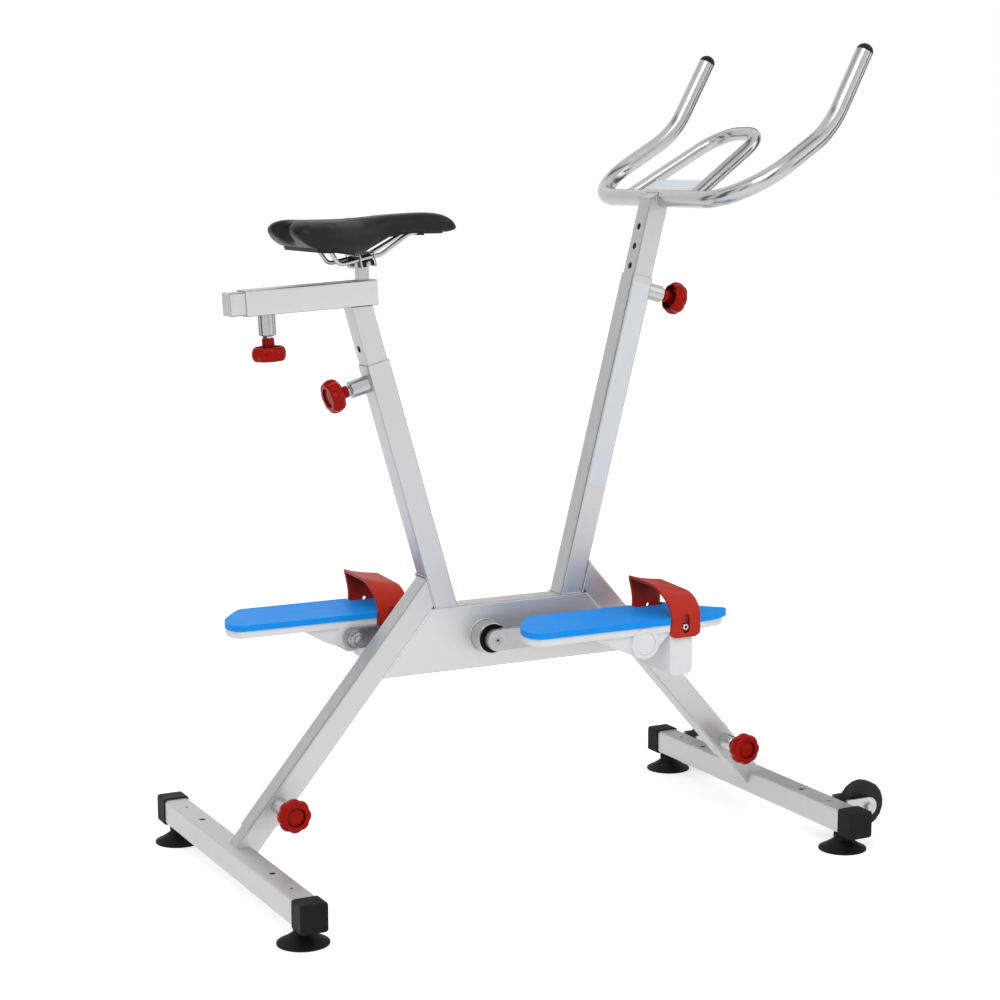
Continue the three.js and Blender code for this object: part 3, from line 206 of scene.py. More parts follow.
def bump(look, shader, height, strength, distance):
    node = add_node(look, "Bump", Strength=strength, Distance=distance)
    connect(look, height, node.inputs["Height"])
    connect(look, node.outputs["Normal"], shader.inputs["Normal"])


def corner_share(look):
    """How much a place belongs to a square tube's rounded corner: none on its flats, most midway."""
    places = add_node(look, "TexCoord")
    split = add_node(look, "SeparateXYZ")
    connect(look, places.outputs["Normal"], split.inputs[0])
    square = math_node(look, "MULTIPLY", split.outputs["Y"], split.outputs["Y"])
    return math_node(look, "MULTIPLY", square, math_node(look, "SUBTRACT", 1, square))


def scaled_by(look, vector, factor):
    node = add_node(look, "VectorMath", {"operation": "SCALE"})
    connect(look, vector, node.inputs[0])
    connect(look, factor, node.inputs["Scale"])
    return node.outputs["Vector"]


def shaded(colour, share):
    return tuple(channel * share for channel in colour)


# Materials
steel_colour = (0.6, 0.6, 0.604)
# The same steel painted lighter for the level tubes and their welds, standing in for light their
# reflections lose
painted_light_level_colour = (0.65, 0.65, 0.652)
chrome_colour = (0.5, 0.5, 0.505)
crank_colour = (0.42, 0.42, 0.425)
rubber_colour = (0.007, 0.007, 0.0075)
plastic_colour = (0.009, 0.009, 0.0095)
knob_colour = (0.36, 0.004, 0.0006)
white_colour = (0.78, 0.79, 0.8)
pad_colour = (0.006, 0.3, 0.92)
strap_colour = (0.49, 0.022, 0.008)
cover_colour = (0.0085, 0.0085, 0.009)
foil_colour = (0.68, 0.71, 0.74)
metal_bump = 0.01 * mm
leather_bump = 0.08 * mm
leather_shine = 0.24
corner_span = (0.06, 0.2)
corner_gloss = 0.5
# Painted shade in hollows: its darkest share, its span of openness, its samples, and its reach on knobs
# and straps
painted_hollow_shade = 0.22
painted_shade_span = (0.35, 0.95)
painted_shade_samples = 8
knob_painted_shade_reach = 24 * mm
strap_painted_shade_reach = 70 * mm
# Grained finishes, as slot: colour, roughness, grain's scale and depth, mottle, shine, reach of painted
# shade in hollows
grained_finishes = {
    "black_rubber": (rubber_colour, 0.6, 1500, 0.05 * mm, 0.9, 0.16, 0),
    "wheel_rubber": (rubber_colour, 0.5, 1200, 0.05 * mm, 0.9, 0.25, 0),
    "black_plastic": (plastic_colour, 0.4, 1800, 0.03 * mm, 0.9, 0.18, 0),
    "red_knob": (knob_colour, 0.22, 900, 0.02 * mm, 0.88, 0.1, knob_painted_shade_reach),
    "white_plastic": (white_colour, 0.42, 1300, 0.03 * mm, 0.96, 0.4, 0),
    "blue_pad": (pad_colour, 0.5, 1100, 0.08 * mm, 0.94, 0.12, 0),
    "red_strap": (strap_colour, 0.45, 1000, 0.05 * mm, 0.88, 0.2, strap_painted_shade_reach),
    "label_foil": (foil_colour, 0.34, 1500, 0.02 * mm, 0.97, 0.4, 0),
}


def satin_steel(name, lean, painted_corner_shade=0.42, steel=steel_colour):
    """Stainless tube, ground along its length, faintly clouded, its corners smoother and given painted
    shade: a darker colour standing for the dark reflection along them.
    """
    look, shader = shader_tree(name, Metallic=1)
    grain = noise_on(look, place_on(look, (1, 1, 0.03), lean), scale=1800, detail=4, roughness=0.6)
    clouds = noise_on(look, place_on(look, (1, 1, 0.4), lean), scale=22)
    corner = corner_share(look)
    colour = colour_ramp(look, clouds, shaded(steel, 0.96), steel)
    # Painted shade: the colour darkens on the rounded corners, as a dark reflection line would
    tone = scaled_by(look, colour, ramp(look, corner, 1, painted_corner_shade, *corner_span))
    cloudy = ramp(look, clouds, low=0.45, high=0.5)
    smoother = ramp(look, corner, 1, corner_gloss, *corner_span)
    uneven = ramp(look, grain, low=-0.03, high=0.05)
    coat(look, shader, tone, math_node(look, "MULTIPLY_ADD", cloudy, smoother, uneven))
    bump(look, shader, grain, strength=0.08, distance=metal_bump)
    return look


def polished_steel(name, colour=chrome_colour, low=0.19, high=0.26):
    """Bright finish, softened by faint smears."""
    look, shader = shader_tree(name, Metallic=1)
    smears = noise_on(look, place_on(look), scale=60, detail=4, roughness=0.55)
    tone = colour_ramp(look, smears, shaded(colour, 0.95), colour)
    coat(look, shader, tone, ramp(look, smears, low, high))
    grain = noise_on(look, place_on(look), scale=900, detail=2)
    bump(look, shader, grain, strength=0.03, distance=metal_bump)
    return look


def grained(name):
    """Rubber, plastic or foil: fine grain, slightly uneven tone and gloss, and painted shade that
    darkens hollows.
    """
    colour, rough, grain_scale, grain_depth, mottle, shine, hollow = grained_finishes[name]
    look, shader = shader_tree(name, Specular_IOR_Level=shine)
    places = place_on(look)
    clouds = noise_on(look, places, scale=35)
    grain = noise_on(look, places, scale=grain_scale, roughness=0.6)
    tone = colour_ramp(look, clouds, shaded(colour, mottle), colour)
    # Painted shade: the colour darkens where the piece's own surfaces close round a point
    if hollow:
        local = {"samples": painted_shade_samples, "only_local": True}
        sky = add_node(look, "AmbientOcclusion", local, Distance=hollow)
        tone = scaled_by(look, tone, ramp(look, sky.outputs["AO"], painted_hollow_shade, 1, *painted_shade_span))
    coat(look, shader, tone, ramp(look, clouds, rough * 0.9, rough * 1.1))
    bump(look, shader, grain, strength=0.4, distance=grain_depth)
    return look


def leather(name, colour):
    """Synthetic leather: a net of fine cells over softly uneven tone and gloss."""
    look, shader = shader_tree(name, Specular_IOR_Level=leather_shine)
    places = place_on(look)
    cells = add_node(look, "TexVoronoi", {"feature": "DISTANCE_TO_EDGE"}, Scale=700)
    connect(look, places, cells.inputs["Vector"])
    clouds = noise_on(look, places, scale=30)
    tone = colour_ramp(look, clouds, shaded(colour, 0.85), colour)
    coat(look, shader, tone, ramp(look, clouds, low=0.36, high=0.44))
    net = ramp(look, cells.outputs["Distance"], low=0, high=1, start=0, end=0.2)
    bump(look, shader, net, strength=0.25, distance=leather_bump)
    return look


# The beam's welds and the level tubes take the steel colour painted lighter, for light
weld_steel = satin_steel("weld_steel", lean=0, painted_corner_shade=1, steel=painted_light_level_colour)
crank_steel = polished_steel("crank_steel", crank_colour, low=0.24, high=0.34)
slot_looks = {
    "satin_steel": satin_steel("satin_steel_beam", lean=90, steel=painted_light_level_colour),
    "polished_steel": polished_steel("polished_steel"),
    "bearing_steel": satin_steel("bearing_steel", lean=0),
    "saddle_cover": leather("saddle_cover", cover_colour),
}
for slot in grained_finishes:
    slot_looks[slot] = grained(slot)
node_looks = {node: slot_looks[slot] for node, slot in node_slot.items()}
for tube, (root_x, lean, *nodes) in tubes.items():
    lean_look = satin_steel(f"satin_steel_{tube}", lean)
    for node in nodes:
        node_looks[node] = lean_look


# Pieces, each of which rides on a node's body
smooth_limit = math.radians(40)
flat_limit = math.radians(0.5)
rod_segments = 32
small_segments = 24
node_merge = 0.01 * mm
point_merge = 0.005 * mm


def settle(piece):
    """Applies every modifier of a piece."""
    graph = bpy.context.evaluated_depsgraph_get()
    graph.update()
    mesh = bpy.data.meshes.new_from_object(piece.evaluated_get(graph))
    old = piece.data
    piece.modifiers.clear()
    piece.data = mesh
    bpy.data.meshes.remove(old)


def modified(piece, kind, **settings):
    """Applies one modifier to a piece."""
    modifier = piece.modifiers.new(kind, kind)
    for key, value in settings.items():
        setattr(modifier, key, value)
    settle(piece)


def weighted(piece):
    """Smooth shading that keeps flat faces flat and sharp edges sharp."""
    piece.data.shade_smooth()
    piece.data.set_sharp_from_angle(angle=smooth_limit)
    modified(piece, "WEIGHTED_NORMAL", keep_sharp=True, weight=100)
    return piece


def rounded_edges(piece, width, steps=3):
    edges = {"limit_method": "ANGLE", "angle_limit": smooth_limit}
    modified(piece, "BEVEL", width=width, segments=steps, **edges)
    return weighted(piece)


def cut_away(piece, *cutters):
    for cutter in cutters:
        modified(piece, "BOOLEAN", operation="DIFFERENCE", solver="EXACT", object=cutter)
        bpy.data.objects.remove(cutter)


def add_to(piece, node, slot, look=None):
    """A piece of its own finish that is added to a node's body."""
    piece.data.materials.clear()
    piece.data.materials.append(look or slot_looks[slot])
    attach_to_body(piece, node_body[node])


def attach(piece, node, look=None):
    """A piece that takes a node's place."""
    add_to(piece, node, node_slot[node], look or node_looks[node])
    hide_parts(node)
    return piece


def refined(node, width, steps=2, look=None, cutters=()):
    """A node's own form, cut where there are cutters, with its edges rounded."""
    shape = bmesh.new()
    shape.from_mesh(frame["nodes"][node].data)
    bmesh.ops.remove_doubles(shape, verts=shape.verts, dist=node_merge)
    every = {"verts": shape.verts, "edges": shape.edges}
    bmesh.ops.dissolve_limit(shape, angle_limit=flat_limit, **every)
    piece = from_shape(f"{node}_form", shape)
    cut_away(piece, *cutters)
    rounded_edges(piece, width, steps)
    attach(piece, node, look)


def from_shape(name, shape):
    mesh = bpy.data.meshes.new(name)
    shape.to_mesh(mesh)
    shape.free()
    return link_object(name, mesh)


def mesh_piece(name, points, faces):
    mesh = bpy.data.meshes.new(name)
    mesh.from_pydata([tuple(point) for point in points], [], faces)
    shape = bmesh.new()
    shape.from_mesh(mesh)
    bpy.data.meshes.remove(mesh)
    bmesh.ops.remove_doubles(shape, verts=shape.verts, dist=point_merge)
    bmesh.ops.recalc_face_normals(shape, faces=shape.faces)
    return from_shape(name, shape)


def ringed(name, rings, closed=False):
    """A skin over a row of equal rings of points, capped unless it closes on itself."""
    size = len(rings[0])
    count = len(rings)
    faces = []
    for row in range(count if closed else count - 1):
        here, ahead = row * size, ((row + 1) % count) * size
        for i in range(size):
            j = (i + 1) % size
            faces.append((here + i, here + j, ahead + j, ahead + i))
    if not closed:
        faces.append(tuple(range(size)))
        faces.append(tuple((count - 1) * size + i for i in range(size)))
    return mesh_piece(name, [point for ring in rings for point in ring], faces)


def aimed(origin, direction, side=Vector((0, 1, 0))):
    """A placement that turns a piece's own Z axis along a direction, from a point."""
    z = Vector(direction).normalized()
    y = (side - z * side.dot(z)).normalized()
    turn = Matrix((y.cross(z), y, z)).transposed().to_4x4()
    return Matrix.Translation(Vector(origin)) @ turn


def facing(origin, side):
    """A placement whose own Z axis points to one side of the bike."""
    return aimed(origin, (0, side, 0), Vector((0, 0, 1)))


def circle(matrix, radius, height, segments, reach=None):
    """Points round a placement's Z axis, where a reach may change the radius with the angle."""
    points = []
    for i in range(segments):
        angle = 2 * math.pi * i / segments
        here = reach(radius, angle) if reach else radius
        points.append(matrix @ Vector((here * math.cos(angle), here * math.sin(angle), height)))
    return points


def turned(name, profile, matrix, segments=48, reach=None, closed=False):
    """A round piece about its own Z axis, from pairs of radius and height."""
    rings = [circle(matrix, radius, height, segments, reach) for radius, height in profile]
    return weighted(ringed(name, rings, closed))


def rod(name, matrix, radius, low, high):
    """A plain round cutter along a placement's own Z axis."""
    return ringed(name, [circle(matrix, radius, height, rod_segments) for height in (low, high)])


def disc(radius, low, high):
    return [(0, low), (radius, low), (radius, high), (0, high)]


def mirrored(profile):
    """What a profile of a round piece has below its middle, when both halves are the same."""
    return [(radius, -height) for radius, height in reversed(profile)]


def rectangle(near, far, low, high):
    return [(near, low), (far, low), (far, high), (near, high)]


def bend(before, corner, after, radius, steps):
    arriving = (corner - before).normalized()
    leaving = (after - corner).normalized()
    turn = arriving.angle(leaving)
    inward = (leaving - arriving).normalized()
    along = (arriving + leaving).normalized()
    centre = corner + inward * (radius / math.cos(turn / 2))
    points = []
    for step in range(steps + 1):
        angle = turn * (step / steps - 0.5)
        points.append(centre - inward * radius * math.cos(angle) + along * radius * math.sin(angle))
    return points


def bent_path(corners, radii, steps):
    points = [corners[0]]
    for i, radius in enumerate(radii):
        points += bend(*corners[i:i + 3], radius, steps)
    return points + [corners[-1]]


def round_ring(centre, side, other, radius, sides):
    """Points evenly round a circle in the plane of two directions."""
    turns = [2 * math.pi * k / sides for k in range(sides)]
    return [centre + (side * math.cos(turn) + other * math.sin(turn)) * radius for turn in turns]


def swept(name, path, radius, sides):
    """A round tube along a path, its rings kept from twisting."""
    rings = []
    side = None
    for i, point in enumerate(path):
        before = path[max(i - 1, 0)]
        after = path[min(i + 1, len(path) - 1)]
        arriving = (point - before).normalized() if i else (after - point).normalized()
        leaving = (after - point).normalized() if i < len(path) - 1 else arriving
        ahead = (arriving + leaving).normalized()
        if side is None:
            side = ahead.orthogonal().normalized()
        side = (side - ahead * side.dot(ahead)).normalized()
        rings.append(round_ring(point, side, ahead.cross(side), radius, sides))
    return weighted(ringed(name, rings))


def lean_axes(lean):
    """Up along a leaning tube, and forward across it."""
    sine, cosine = math.sin(math.radians(lean)), math.cos(math.radians(lean))
    return Vector((sine, 0, cosine)), Vector((cosine, 0, -sine))


def on_tube(name, height, ahead=0):
    """The place at a height on a frame tube's middle line, or on a line at a distance before it."""
    root_x, lean, *nodes = tubes[name]
    along, across = lean_axes(lean)
    run = (height - crank_height - across.z * ahead) / along.z
    return Vector((root_x, 0, crank_height)) + along * run + across * ahead


# Frame tubes and posts, with round holes down each sliding post from its top one
tube_round = 1.6 * mm
post_round = 0.8 * mm
post_hole_radius = 5.6 * mm
post_hole_segments = 36
post_hole_spacing = 33 * mm
post_hole_count = 6
frame_tubes = ("cross_beam", "seat_tube", "handlebar_tube", "rear_leg_tube", "front_leg_tube")
seat_tubes = ("seat_box", "slide_tube")
# Sliding posts, as node: tube, height of the top hole
posts = {"seat_post": ("seat_tube", 843.9 * mm), "handlebar_post": ("bar_tube", 1016.3 * mm)}


def add_tubes():
    for node in frame_tubes + seat_tubes:
        refined(node, tube_round, 3)
    for node, (tube, top_height) in posts.items():
        along, outward = lean_axes(tubes[tube][1])
        bore = [(post_hole_radius, 0), (post_hole_radius, 2 * tube_side)]
        cutters = []
        for i in range(post_hole_count):
            middle = on_tube(tube, top_height) - along * post_hole_spacing * i
            matrix = aimed(middle - outward * tube_side, outward)
            cutters.append(turned("hole_cutter", bore, matrix, post_hole_segments))
        refined(node, post_round, cutters=cutters)


# Bare label on the near face of the handlebar tube
label_half_width = 16.5 * mm
label_low = 598 * mm
label_high = 928 * mm
label_lift = 0.05 * mm
label_thickness = 0.25 * mm


def add_label():
    across = lean_axes(tubes["bar_tube"][1])[1] * label_half_width
    rings = []
    for lift in (label_lift, label_thickness):
        ring = []
        for height, side in rectangle(label_low, label_high, -1, 1):
            point = on_tube("bar_tube", height) + across * side
            ring.append(Vector((point.x, -tube_side / 2 - lift, point.z)))
        rings.append(ring)
    add_to(ringed("tube_label", rings), "handlebar_tube", "label_foil")


# Welds
weld_radius = 1.7 * mm
weld_ripple = 0.35 * mm
weld_sides = 8
ripple_pitch = 3.5 * mm
ripple_step = ripple_pitch / 4
weld_rise = 51 * mm
fine_weld_radius = 2.2 * mm
fine_weld_sink = 1.5 * mm


def weld_bead(name, path, node, slot="polished_steel", closed=False, radius=weld_radius, look=None):
    """A rippled bead of weld along a path of points."""
    dense = []
    for start, end in zip(path, path[1:]):
        steps = max(1, round((end - start).length / ripple_step))
        dense += [start.lerp(end, step / steps) for step in range(steps)]
    if not closed:
        dense.append(path[-1])
    rings = []
    count = len(dense)
    for i, point in enumerate(dense):
        before = dense[i - 1] if i or closed else point
        after = dense[(i + 1) % count] if i < count - 1 or closed else point
        ahead = (after - before).normalized()
        wave = math.sin(2 * math.pi * (i + 1) * ripple_step / ripple_pitch)
        side = ahead.orthogonal().normalized()
        here = radius + weld_ripple * wave
        rings.append(round_ring(point, side, ahead.cross(side), here, weld_sides))
    piece = ringed(name, rings, closed)
    piece.data.shade_smooth()
    add_to(piece, node, slot, look)


def leg_weld(name, tube, ahead, node):
    """The bead from the beam's top up the upright's outer face and over the leg."""
    half = tube_side / 2
    low, high = beam_top, beam_top + weld_rise
    path = []
    for height, y in ((low, -half), (high, -half), (high, half), (low, half)):
        point = on_tube(tube, height, ahead * half)
        path.append(Vector((point.x, y, point.z)))
    weld_bead(name, path, node)


def beam_weld(name, tube, ahead):
    """The fine bead down each side, where a leg meets the beam's end."""
    for side in side_names.values():
        path = []
        for height in (beam_bottom + weld_radius, beam_top - weld_radius):
            point = on_tube(tube, height, ahead * tube_side / 2)
            path.append(Vector((point.x, side * (tube_side / 2 - fine_weld_sink), point.z)))
        bead = {"radius": fine_weld_radius, "look": weld_steel}
        weld_bead(f"{name}_{side}", path, "cross_beam", "satin_steel", **bead)


def upright_weld(name, tube):
    """The fine bead along each side of an upright's foot, on top of the beam."""
    root_x, lean, *nodes = tubes[tube]
    middle = root_x + math.tan(math.radians(lean)) * (beam_top - crank_height)
    reach = tube_side / 2 / math.cos(math.radians(lean))
    for side in side_names.values():
        y = side * (tube_side / 2 - fine_weld_sink)
        path = [Vector((middle + end * reach, y, beam_top)) for end in ends.values()]
        weld_bead(f"{name}_{side}", path, "cross_beam", radius=fine_weld_radius)


def add_welds():
    leg_weld("rear_leg_weld", "seat_tube", -1, "rear_leg_tube")
    leg_weld("front_leg_weld", "bar_tube", 1, "front_leg_tube")
    beam_weld("rear_beam_weld", "rear_leg", 1)
    beam_weld("front_beam_weld", "front_leg", -1)
    upright_weld("seat_tube_weld", "seat_tube")
    upright_weld("bar_tube_weld", "bar_tube")


# Clamp knobs
boss_length = 32 * mm
boss_radius = 13.5 * mm
boss_chamfer = 1.2 * mm
nut_radius = 8 * mm
nut_length = 4 * mm
nut_corners = 6
stud_radius = 5 * mm
neck_radius = 9.5 * mm
neck_length = 13 * mm
head_radius = 27.2 * mm
head_length = 22 * mm
head_segments = 96
rim_round = 6 * mm
rim_steps = 12
wall_share = 0.6
dish_radius = 15 * mm
dish_depth = 4 * mm
dish_rim_share = 0.8
dish_floor_share = 0.7
hollow_depth = 9 * mm
lobes = 8
lobe_depth = 2 * mm
# Clamps, as knob: node that holds its boss, joint
clamps = {
    "seat_tube_knob": ("seat_tube", "seat_tube_clamp_turn"),
    "handlebar_tube_knob": ("handlebar_tube", "handlebar_tube_clamp_turn"),
    "rear_leg_knob": ("rear_leg_tube", "rear_leg_clamp_turn"),
    "front_leg_knob": ("front_leg_tube", "front_leg_clamp_turn"),
    "seat_slide_knob": ("seat_box", "seat_slide_clamp_turn"),
}


def knob_reach(radius, angle):
    """Lobes round the rim, fading towards the middle."""
    share = min(1, max(0, (radius - dish_radius) / (head_radius - dish_radius)))
    wave = (1 - math.cos(lobes * angle)) / 2
    return radius - share * wave ** 2 * lobe_depth


def knob_head(node, matrix):
    start = boss_length + gap + nut_length + neck_length
    end = start + head_length
    middle = (start + end) / 2
    rim_middle = head_radius - rim_round
    profile = [
        (0, start - neck_length),
        (neck_radius - fine_round, start - neck_length),
        (neck_radius, start - neck_length + fine_round),
        (neck_radius + fine_round, start + hollow_depth),
        (rim_middle - rim_round * wall_share, start + hollow_depth),
        (rim_middle - fine_round, start + fine_round),
    ]
    for step in range(rim_steps + 1):
        angle = math.pi * (step / rim_steps - 0.5)
        height = middle + head_length / 2 * math.sin(angle)
        profile.append((rim_middle + rim_round * math.cos(angle), height))
    profile += [
        (dish_radius + fine_round, end - fine_round),
        (dish_radius, end - dish_depth),
        (dish_radius - dish_depth, end - dish_depth * dish_rim_share),
        (0, end - dish_depth * dish_floor_share),
    ]
    attach(turned(f"{node}_head", profile, matrix, head_segments, knob_reach), node)


def knob_stud(node, matrix):
    """The bright stud and its jam nut between the boss and the head."""
    start = boss_length + gap
    profile = [
        (0, -tube_wall),
        (stud_radius, -tube_wall),
        (stud_radius, start),
        (nut_radius, start),
        (nut_radius, start + nut_length - fine_round),
        (nut_radius - fine_round, start + nut_length),
        (0, start + nut_length),
    ]
    add_to(turned(f"{node}_stud", profile, matrix, nut_corners), node, "polished_steel")


def boss_sleeve(node, holder, matrix):
    """The bright turned skin of a clamp's boss."""
    outer = boss_radius + gap
    inner = boss_radius - gap
    end = boss_length + gap / 2
    profile = [
        (inner, gap),
        (outer, gap),
        (outer, end - boss_chamfer),
        (outer - boss_chamfer, end),
        (nut_radius, end),
        (nut_radius, end - gap),
        (inner - boss_chamfer, end - gap),
        (inner, end - boss_chamfer - gap),
    ]
    add_to(turned(f"{node}_boss_skin", profile, matrix, closed=True), holder, "polished_steel")


def add_knobs():
    for node, (holder, joint) in clamps.items():
        row = joints[joint]
        side = Vector((0, 1, 0)) if abs(row["axis"][1]) < 0.5 else Vector((0, 0, 1))
        matrix = aimed(row["pos_m"], row["axis"], side)
        knob_head(node, matrix)
        knob_stud(node, matrix)
        boss_sleeve(node, holder, matrix)


# Handlebar
bar_x = 284 * mm + shift
bar_height = 1066 * mm
bar_radius = 14 * mm
bar_inner_half = 252 * mm
bar_outer_half = 236 * mm
bar_forward = 174 * mm
bar_rise = 108 * mm
bar_inner_bend = 100 * mm
bar_outer_bend = 154 * mm
horn_forward = 66 * mm
horn_rise = 123.9 * mm
horn_half = 233 * mm
loop_radius = 11 * mm
loop_root_half = 102.7 * mm
loop_forward = 166 * mm
loop_rise = 105.6 * mm
loop_front_half = 63.5 * mm
loop_bend = 62.8 * mm
bend_steps = 24
bar_sides = 40
loop_sides = 32
wrap_half = 17.7 * mm
wrap_behind = 25.1 * mm
wrap_angle = 137
wrap_angle_step = 15
wrap_bead = 1.2 * mm
plug_length = 20 * mm
plug_stem_radius = 11 * mm
plug_dome = 13 * mm
plug_steps = 9


def bar_point(ahead, half, rise):
    return Vector((bar_x + ahead, half, bar_height + rise))


def horn_line(side):
    """The bar's corners on one side: its rear bend, its knee and its horn's end."""
    return [
        bar_point(0, side * bar_inner_half, 0),
        bar_point(bar_forward, side * bar_outer_half, bar_rise),
        bar_point(bar_forward + horn_forward, side * horn_half, bar_rise + horn_rise),
    ]


def handlebar_path():
    radii = [bar_outer_bend, bar_inner_bend, bar_inner_bend, bar_outer_bend]
    return bent_path(horn_line(-1)[::-1] + horn_line(1), radii, bend_steps)


def loop_path():
    corners = [
        bar_point(0, -loop_root_half, 0),
        bar_point(loop_forward, -loop_front_half, loop_rise),
        bar_point(loop_forward, loop_front_half, loop_rise),
        bar_point(0, loop_root_half, 0),
    ]
    return bent_path(corners, [loop_bend, loop_bend], bend_steps)


def on_bar(angle, half):
    """A point on the handlebar tube above the post, by its angle from straight ahead."""
    turn = math.radians(angle)
    reach = bar_radius + gap
    return bar_point(reach * math.cos(turn), half, reach * math.sin(turn))


def bar_wrap():
    """The post's rear wall, folded forward onto the handlebar tube, and the weld round it."""
    rings = [
        [bar_point(-wrap_behind, half, gap), on_bar(180, half), on_bar(wrap_angle, half)]
        for half in (-wrap_half, wrap_half)
    ]
    fold = rounded_edges(ringed("post_fold", rings), fine_round)
    add_to(fold, "handlebar_post", "satin_steel", node_looks["handlebar_post"])
    for name, side in side_names.items():
        half = side * wrap_half
        path = [bar_point(-wrap_behind, half, gap)]
        path += [on_bar(angle, half) for angle in range(wrap_angle, 360, wrap_angle_step)]
        weld_bead(f"post_fold_weld_{name}", path, "handlebar_post", radius=wrap_bead)
    path = [on_bar(wrap_angle, half) for half in (-wrap_half, wrap_half)]
    weld_bead("post_fold_weld_top", path, "handlebar_post", radius=wrap_bead)


def bar_plug(name, side):
    """The domed plug in a horn's end."""
    knee, end = horn_line(side)[1:]
    profile = [
        (0, -plug_length),
        (plug_stem_radius, -plug_length),
        (plug_stem_radius, gap),
        (bar_radius - fine_round, gap),
    ]
    for step in range(plug_steps + 1):
        angle = math.pi / 2 * step / plug_steps
        profile.append((bar_radius * math.cos(angle), fine_round + plug_dome * math.sin(angle)))
    return turned(f"{name}_bar_plug_form", profile, aimed(end, end - knee), bar_sides)


def add_handlebar():
    attach(swept("handlebar_tube_form", handlebar_path(), bar_radius, bar_sides), "handlebar")
    attach(swept("handlebar_loop_form", loop_path(), loop_radius, loop_sides), "handlebar_loop")
    refined("label_plate", fine_round)
    bar_wrap()
    for name, side in side_names.items():
        attach(bar_plug(name, side), f"{name}_bar_plug")


# Crank set
housing_radius = 25.8 * mm
housing_half = 50 * mm
housing_segments = 64
seal_radius = 23 * mm
seal_step = 1.5 * mm
seal_depth = 4 * mm
axle_radius = 10 * mm
crank_face = 69 * mm
screw_radius = 8.5 * mm
screw_depth = 6 * mm
screw_cone = 3 * mm
screw_groove = 0.8 * mm
# The groove's outline round the screw's face, as share of its radius and of its depth
screw_groove_shares = [(0.62, 0), (0.6, 1), (0.55, 1), (0.53, 0)]
socket_radius = 2.2 * mm
socket_depth = 2 * mm
bead_steps = 40
bead_reach = housing_radius + weld_radius * 0.4


def on_crank_axis(side):
    return facing((crank_x, 0, crank_height), side)


def bearing_housing():
    """The housing's bright outer skin, from one rolled lip to the other."""
    throat = seal_radius + gap
    half = [
        (throat, housing_half - fine_round),
        (throat + fine_round, housing_half),
        (housing_radius - fine_round, housing_half),
        (housing_radius, housing_half - fine_round),
    ]
    profile = half + mirrored(half)
    matrix = on_crank_axis(1)
    return turned("bearing_housing_form", profile, matrix, housing_segments, closed=True)


def shaft_seal(side):
    end = housing_half + gap
    start = end - seal_depth
    profile = [
        (axle_radius + gap, start),
        (seal_radius, start),
        (seal_radius, end - fine_round),
        (seal_radius - fine_round, end),
        (seal_radius - seal_step, end),
        (seal_radius - 2 * seal_step, end - seal_step),
        (axle_radius + 3 * seal_step, end - seal_step),
        (axle_radius + 2 * seal_step, end),
        (axle_radius + gap, end),
    ]
    matrix = on_crank_axis(side)
    return turned(f"shaft_seal_form_{side}", profile, matrix, housing_segments, closed=True)


def crank_screw(side):
    """The countersunk screw in the crank's boss, with a small round socket."""
    profile = [
        (0, crank_face - screw_depth),
        (screw_radius, crank_face - screw_cone + gap),
        (screw_radius, crank_face - fine_round),
        (screw_radius - fine_round, crank_face),
    ]
    for reach, depth in screw_groove_shares:
        profile.append((screw_radius * reach, crank_face - screw_groove * depth))
    profile += [
        (socket_radius + fine_round, crank_face),
        (socket_radius, crank_face - fine_round),
        (socket_radius, crank_face - socket_depth),
        (0, crank_face - socket_depth),
    ]
    return turned(f"crank_screw_{side}", profile, on_crank_axis(side))


def socket_shade_disc(side):
    """A dark disc of painted shade at the bottom of the screw's socket."""
    low = crank_face - socket_depth
    profile = disc(socket_radius - gap / 2, low, low + fine_round)
    return turned(f"socket_shade_disc_{side}", profile, on_crank_axis(side), small_segments)


def housing_weld(side):
    """The weld ring where the housing leaves the beam."""
    middle = Vector((crank_x, side * tube_side / 2, crank_height))
    path = round_ring(middle, Vector((1, 0, 0)), Vector((0, 0, 1)), bead_reach, bead_steps)
    weld_bead(f"housing_weld_{side}", path + path[:1], "bearing_housing", closed=True)


def add_crank_set():
    attach(bearing_housing(), "bearing_housing")
    refined("crank_axle", fine_round / 2)
    for name, side in side_names.items():
        refined(f"{name}_bearing", fine_round / 2)
        attach(shaft_seal(side), f"{name}_shaft_seal")
        refined(f"{name}_crank", fine_round, look=crank_steel)
        attach(crank_screw(side), f"{name}_crank_bolt", crank_steel)
        # Painted shade: a black disc in the bottom of the screw's socket
        add_to(socket_shade_disc(side), f"{name}_crank_bolt", "black_rubber")
        refined(f"{name}_pedal_spindle", fine_round)
        housing_weld(side)


# Straps, each measured from its pedal's own spindle
pedal_from_middle = 137 * mm
pedal_half = 65 * mm
strap_start = 47 * mm
strap_end = 102 * mm
strap_thickness = 5 * mm
strap_top = 82.5 * mm
strap_bottom = 3.25 * mm
strap_large_rear = 60 * mm
strap_large_front = 46 * mm
strap_small = 8 * mm
strap_corner = 9 * mm
strap_flare = 5 * mm
strap_waist = 3.5 * mm
strap_fall = 13 * mm
strap_steps = 14
strap_leg_steps = 8
strap_round = 1.2 * mm
slot_x = 75 * mm
slot_width = 13 * mm
slot_low = 10 * mm
slot_high = 41 * mm
slot_depth = 3.4 * mm
slot_steps = 12
slot_segments = 36
strap_hole_x = 79 * mm
strap_hole_height = 34 * mm
strap_hole_radius = 3.5 * mm
peep_radius = 2.2 * mm
strap_screw_radius = 5.1 * mm
strap_screw_head = 2.9 * mm
strap_screw_height = 20 * mm
strap_socket_radius = 2.4 * mm


